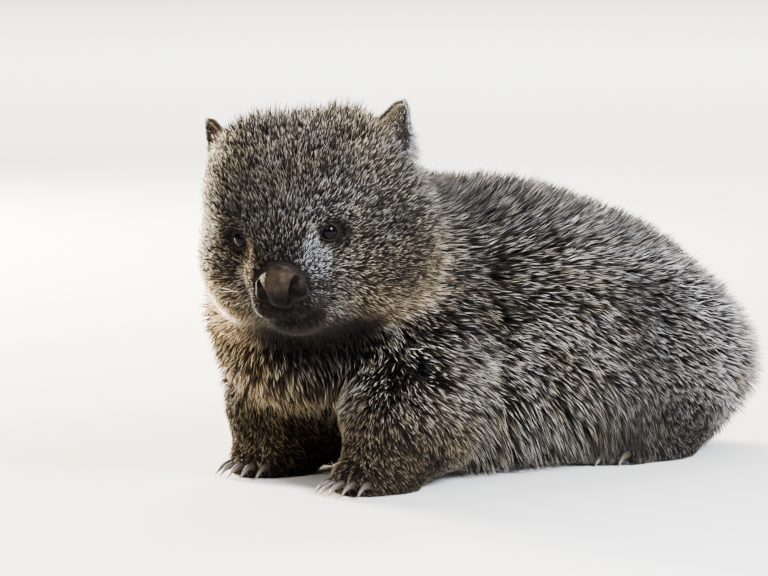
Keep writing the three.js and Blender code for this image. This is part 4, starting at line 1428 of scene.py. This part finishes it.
def tuft_faces(rings):
    """The corners of one tuft's faces, face after face, and how many of them each face has."""
    corners = [TUFT_SIDES - 1 - k for k in range(TUFT_SIDES)]
    sizes = [TUFT_SIDES]
    for ring in range(rings):
        low, high = ring * TUFT_SIDES, (ring + 1) * TUFT_SIDES
        for k in range(TUFT_SIDES):
            after = (k + 1) % TUFT_SIDES
            above = [high] if ring == rings - 1 else [high + after, high + k]
            corners += [low + k, low + after, *above]
            sizes.append(2 + len(above))
    return np.array(corners, np.int32), np.array(sizes, np.int32)


def tuft_mesh(name, stations, radii, bands, root_uv, values):
    """One mesh of many tufts. The bands say where in the colours of a hair each station is."""
    rings = stations.shape[1] - 1
    points = tuft_points(stations, radii)
    count, in_tuft = points.shape[:2]
    pattern, sizes = tuft_faces(rings)
    first = np.concatenate([[0], np.cumsum(sizes)[:-1]])
    owner = np.arange(count)[:, None]
    mesh = bpy.data.meshes.new(name)
    mesh.vertices.add(count * in_tuft)
    mesh.loops.add(count * len(pattern))
    mesh.polygons.add(count * len(sizes))
    mesh.vertices.foreach_set("co", placed(points.reshape(-1, 3)).astype(np.float32).ravel())
    mesh.loops.foreach_set("vertex_index", (pattern[None] + owner * in_tuft).astype(np.int32).ravel())
    mesh.polygons.foreach_set("loop_start", (first[None] + owner * len(pattern)).astype(np.int32).ravel())
    mesh.update(calc_edges=True)
    mesh.shade_smooth()
    patch = [(k - 1, 2 * ring / rings - 1) for ring in range(rings) for k in range(TUFT_SIDES)] + [(0, 1)]
    patch = np.array(patch) * UV_PATCH / 2
    uv = mesh.uv_layers.new(name="OFBake")
    uv_corners = (root_uv[:, None] + patch[pattern][None]).reshape(-1, 2)
    uv.data.foreach_set("uv", np.clip(uv_corners, 0, 1).astype(np.float32).ravel())
    along = np.repeat(bands, [TUFT_SIDES] * rings + [1])
    add_attribute(mesh, "along", np.tile(along, count))
    for key, value in values.items():
        add_attribute(mesh, key, np.repeat(value, in_tuft))
    piece = bpy.data.objects.new(name, mesh)
    bpy.context.collection.objects.link(piece)
    return piece


# The coat, part by part

def unwrap_parts(part_of_face):
    """An unwrap of the skin's own shape, in which each part of the coat fills the whole square."""
    alone(skin)
    skin.data.uv_layers.new(name="unwrap")
    for part in np.unique(part_of_face):
        skin.data.polygons.foreach_set("select", part_of_face == part)
        bpy.ops.object.mode_set(mode="EDIT")
        bpy.ops.mesh.select_mode(type="FACE")
        bpy.ops.uv.smart_project(angle_limit=math.radians(70), island_margin=0.004)
        bpy.ops.object.mode_set(mode="OBJECT")
    layer = skin.data.uv_layers["unwrap"]
    flat = read_values(layer.data, "uv", 2)
    skin.data.uv_layers.remove(layer)
    return flat


def face_parts():
    """The part of the coat that each face of the skin belongs to."""
    return part_of(read_values(skin.data.polygons, "center", 3) * 1000 + ORIGIN)


def face_of_corners():
    """The face of the skin that each of its corners belongs to."""
    totals = read_values(skin.data.polygons, "loop_total", 1, np.int32).ravel()
    return np.repeat(np.arange(len(totals)), totals)


def hair_tone_and_painted_light(p, normal, leader, rng):
    """How light each tuft is. Many are dark and some pale, a little like the leader of their clump.

    It also varies from place to place: the snout and the rump are lighter, and the right cheek is lighter by
    painted sunlight; the shoulder and the left cheek are darker, and the back is darker by painted shade
    where it faces up."""
    count = len(p)
    pick = rng.random(count)
    own = np.where(pick < 0.42, 0.05, np.where(pick < 0.72, 0.5, 1.0)) + rng.normal(0, 0.1, count)
    tone = lerp(own, own[leader], 0.2) + 0.4 * (lattice_noise(p, 9, 8) - 0.5)
    q = moved(p, head_inverse)
    body = body_share(q)
    tone = tone + lerp(0.1, 0.75, q[:, 0] > 0) * within(mirrored(q), MUZZLE_PATCH, 0.5, 1.4)
    # The right side of the head is lighter by painted sunlight
    tone = tone + 0.6 * smoothstep(-q[:, 0], 40, 85) * (1 - body)
    rump = 0.3 * smoothstep(p[:, 1], 100, 240)
    # The back, where the coat faces up, is darker by painted shade
    back = 0.3 * smoothstep(normal[:, 2], 0.5, 0.85)
    tone = tone + body * (0.1 + rump - back)
    tone = tone - 0.45 * body * within(p, SHOULDER, 0.5, 1.4)
    tone = tone - 0.15 * within(q, LEFT_CHEEK, 0.6, 1.3)
    return np.clip(tone, 0, 1)


def make_layer(layer, guard, parts_by_face, unwrapped):
    rng = np.random.default_rng(COAT_SEED + guard)
    roots, loops, weights = coat_roots(rng, GUARD_TUFTS if guard else UNDER_TUFTS)
    root_part = parts_by_face[face_of_corners()[loops[:, 0]]]
    root_uv = np.einsum("ij,ijk->ik", weights, unwrapped[loops])
    stations, normal = grow(roots, rng, guard)
    stations, leader = clumped(stations, rng)
    warm, silver, dark = markings(roots, normal)
    tone = hair_tone_and_painted_light(roots, normal, leader, rng)
    silver = np.clip(silver + rng.normal(0, 0.18, len(roots)), 0, 1)
    warm = np.clip(warm + rng.normal(0, 0.12, len(roots)), 0, 1)
    radii = tuft_radius(roots) * rng.uniform(0.75, 1.25, len(roots)) * (1 if guard else 0.9)
    bands = GUARD_BANDS if guard else UNDER_BANDS
    triangles = 10 if guard else 4  # in one tuft
    for part, name in enumerate(PARTS):
        own = np.flatnonzero(root_part == part)
        pieces = max(1, math.ceil(len(own) * triangles / PIECE_LIMIT))
        for k, some in enumerate(np.array_split(own, pieces)):
            values = {"tone": tone[some], "warm": warm[some], "silver": silver[some], "dark": dark[some]}
            label = f"{layer}_{name}" + (f"_{k + 1}" if pieces > 1 else "")
            piece = tuft_mesh(label, stations[some], radii[some], bands, root_uv[some], values)
            settle(piece, label, fur)


def make_coat():
    parts_by_face = face_parts()
    unwrapped = unwrap_parts(parts_by_face)
    make_layer("coat", True, parts_by_face, unwrapped)
    make_layer("underfur", False, parts_by_face, unwrapped)


# Fur of the ears, fringe and whiskers

def leaning(roots, normal, lie, full, lift):
    """Root, middle and tip of tufts that leave the surface at an angle and bend back towards it."""
    first = lie * column(np.cos(lift)) + normal * column(np.sin(lift))
    second = lie * column(np.cos(lift * 0.4)) + normal * column(np.sin(lift * 0.4))
    middle = roots + first * column(full * 0.5)
    return np.stack([roots - normal * 0.4, middle, middle + second * column(full * 0.5)], axis=1)


def make_ear_fur(s, side):
    """Short tan fur on the back of the ear, dark fur in its cup and a long pale fringe on its outer edge,
    pale partly of its own and partly as painted backlight.
    """
    rng = np.random.default_rng(40 + s)
    count = EAR_TUFTS
    u, v = rng.uniform(-1, 1, count), rng.uniform(0.0, 0.97, count)
    edge = rng.random(count) < 0.4
    u = np.where(edge, np.sign(u) * rng.uniform(0.86, 1.0, count), u)
    fringe = edge & (u * s > 0)
    inner_edge = edge & ~fringe
    back = rng.random(count) < 0.65
    normal = ear_normal(u, v)
    normal = normal * column(np.sign(normal[:, 1] + 1e-9) * np.where(back, 1, -1))
    roots = ear_surface(u, v) + normal * EAR_WALL / 2
    up = unit(ear_surface(u, np.minimum(v + 0.02, 1)) - ear_surface(u, v - 0.02))
    out = np.column_stack([np.sign(u), np.zeros(count), np.zeros(count)])
    low = 1 - smoothstep(v, 0.1, 0.6)
    lie = up * column(1 - 1.3 * low * fringe) + out * column(np.where(fringe, 0.4 + 0.9 * low, 0.1))
    lie = unit(lie + rng.normal(0, 0.12, (count, 3)))
    full = np.where(fringe, 4 + 9 * low, np.where(inner_edge, 4.5, 3.5)) * rng.uniform(0.8, 1.4, count)
    stations = leaning(roots, normal, lie, full, rng.uniform(0.1, 0.35, count))
    stations = moved(stations.reshape(-1, 3), ear_place(s)).reshape(-1, 3, 3)
    in_cup = ~back & ~edge
    streak = in_cup & (u * s > 0) & (rng.random(count) < 0.2)
    tan = back | inner_edge | (~edge & (u * s < 0.1))
    # The fringe is pale partly of its own and partly as painted backlight
    pale = fringe | streak
    values = {
        "tone": np.clip(rng.normal(0.4, 0.25, count) + 0.12 * pale, 0, 1),
        "warm": np.where(tan, 0.95, 0.4) * ~pale,
        "silver": pale * rng.uniform(0.3, 1, count),
        "dark": (in_cup & ~pale) * np.where(tan, 0.5, 0.8) * rng.uniform(0.6, 1, count),
    }
    root_uv = np.column_stack([(u + 1) / 4.2 + 0.02 + 0.5 * back, v * 0.94 + 0.03])
    radii = rng.uniform(*EAR_TUFT, count)
    piece = tuft_mesh(f"ear_fur_{side}", stations, radii, EAR_BANDS, root_uv, values)
    settle(piece, f"ear_fur_{side}", fur)


def make_whiskers():
    """Stiff, thin hairs from the sides of the muzzle, curving back and down."""
    rng = np.random.default_rng(61)
    count = WHISKERS * 2
    s = np.where(np.arange(count) % 2 == 0, 1, -1)
    x, height = s * rng.uniform(14, 30, count), rng.uniform(-42, -24, count)
    roots = lip_point(x, height)
    _, normal = slope_at(body_field, roots)
    back = turned(np.column_stack([s * 0.8, np.full(count, 0.75), rng.uniform(-0.5, 0.1, count)]), head_frame)
    full = rng.uniform(22, 40, count)
    stations = leaning(roots, normal, unit(back), full, rng.uniform(0.3, 0.7, count))
    values = {
        "tone": rng.uniform(0.5, 1, count),
        "warm": np.zeros(count),
        "silver": rng.uniform(0.2, 0.9, count),
        "dark": np.zeros(count),
    }
    root_uv = np.column_stack([(x + 32) / 64, (height + 44) / 24])
    piece = tuft_mesh("whiskers", stations, np.full(count, WHISKER), WHISKER_BANDS, root_uv, values)
    settle(piece, "whiskers", fur)


make_coat()
for s, side in SIDES:
    make_ear_fur(s, side)
make_whiskers()


# Floor, lights and camera

PALE_FLOOR = "#dedbd5"
PALE_WALL = "#e8e9ea"
ROOM_LIGHT = 0.34
BACKDROP_LIGHT = 2.6
LOOK_AT = (0, -88, 160)
CAMERA_AZIMUTH = 44
CAMERA_HEIGHT_ANGLE = 5
CAMERA_DISTANCE = 4500
CAMERA_LENS = 245.3


def make_floor():
    floor = start(bpy.ops.mesh.primitive_plane_add, size=40, location=(0, 0, 0))
    floor.name = "floor"
    _, shader, material = new_material("matt painted floor", roughness=0.85)
    shader.inputs["Base Color"].default_value = colour(PALE_FLOOR)
    floor.data.materials.append(material)


def aim(thing, at, target):
    thing.location = at
    thing.rotation_euler = (Vector(target) - Vector(at)).to_track_quat("-Z", "Y").to_euler()


def add_light(name, azimuth, height, distance, size, power, hex_value, target=(0, -0.1, 0.15)):
    """A soft square light, by its direction round the animal in degrees from straight ahead of it."""
    light = bpy.data.lights.new(name, "AREA")
    light.size = size
    light.energy = power
    light.color = colour(hex_value)[:3]
    lamp = bpy.data.objects.new(name, light)
    bpy.context.collection.objects.link(lamp)
    a = math.radians(azimuth)
    at = Vector((math.sin(a) * distance, -math.cos(a) * distance, height))
    aim(lamp, at, target)


def make_studio_world():
    """Even pale light from all round, and a paler backdrop behind the animal."""
    world = bpy.data.worlds.new("studio")
    bpy.context.scene.world = world
    world.use_nodes = True
    tree = world.node_tree
    seen = add_node(tree, "ShaderNodeLightPath").outputs["Is Camera Ray"]
    levels = {"Value": seen, "To Min": ROOM_LIGHT, "To Max": BACKDROP_LIGHT}
    strength = add_node(tree, "ShaderNodeMapRange", inputs=levels)
    tree.nodes["Background"].inputs["Color"].default_value = colour(PALE_WALL)
    tree.links.new(strength.outputs["Result"], tree.nodes["Background"].inputs["Strength"])


def make_camera():
    target = Vector(placed(np.array([LOOK_AT]))[0])
    a, e = math.radians(CAMERA_AZIMUTH), math.radians(CAMERA_HEIGHT_ANGLE)
    back = Vector((math.sin(a) * math.cos(e), -math.cos(a) * math.cos(e), math.sin(e)))
    camera = bpy.data.cameras.new("camera")
    camera.lens = CAMERA_LENS
    camera.sensor_width = 36
    camera.clip_end = 100
    holder = bpy.data.objects.new("camera", camera)
    bpy.context.collection.objects.link(holder)
    aim(holder, target + back * CAMERA_DISTANCE / 1000, target)
    bpy.context.scene.camera = holder


make_floor()
add_light("window", 80, 1.2, 2.0, 0.7, 245, "#e9f0ff")
add_light("overhead", 170, 2.5, 0.9, 1.6, 16, "#fff9f0")
add_light("front", 24, 1.6, 1.9, 1.0, 44, "#fffaf2")
add_light("low_sun", -98, 0.75, 3.6, 0.8, 1800, "#ffeccf")
add_light("backdrop", -136, 5.0, 8.0, 9.0, 3600, "#ffffff", (-5.6, 5.6, 0))
make_studio_world()
make_camera()
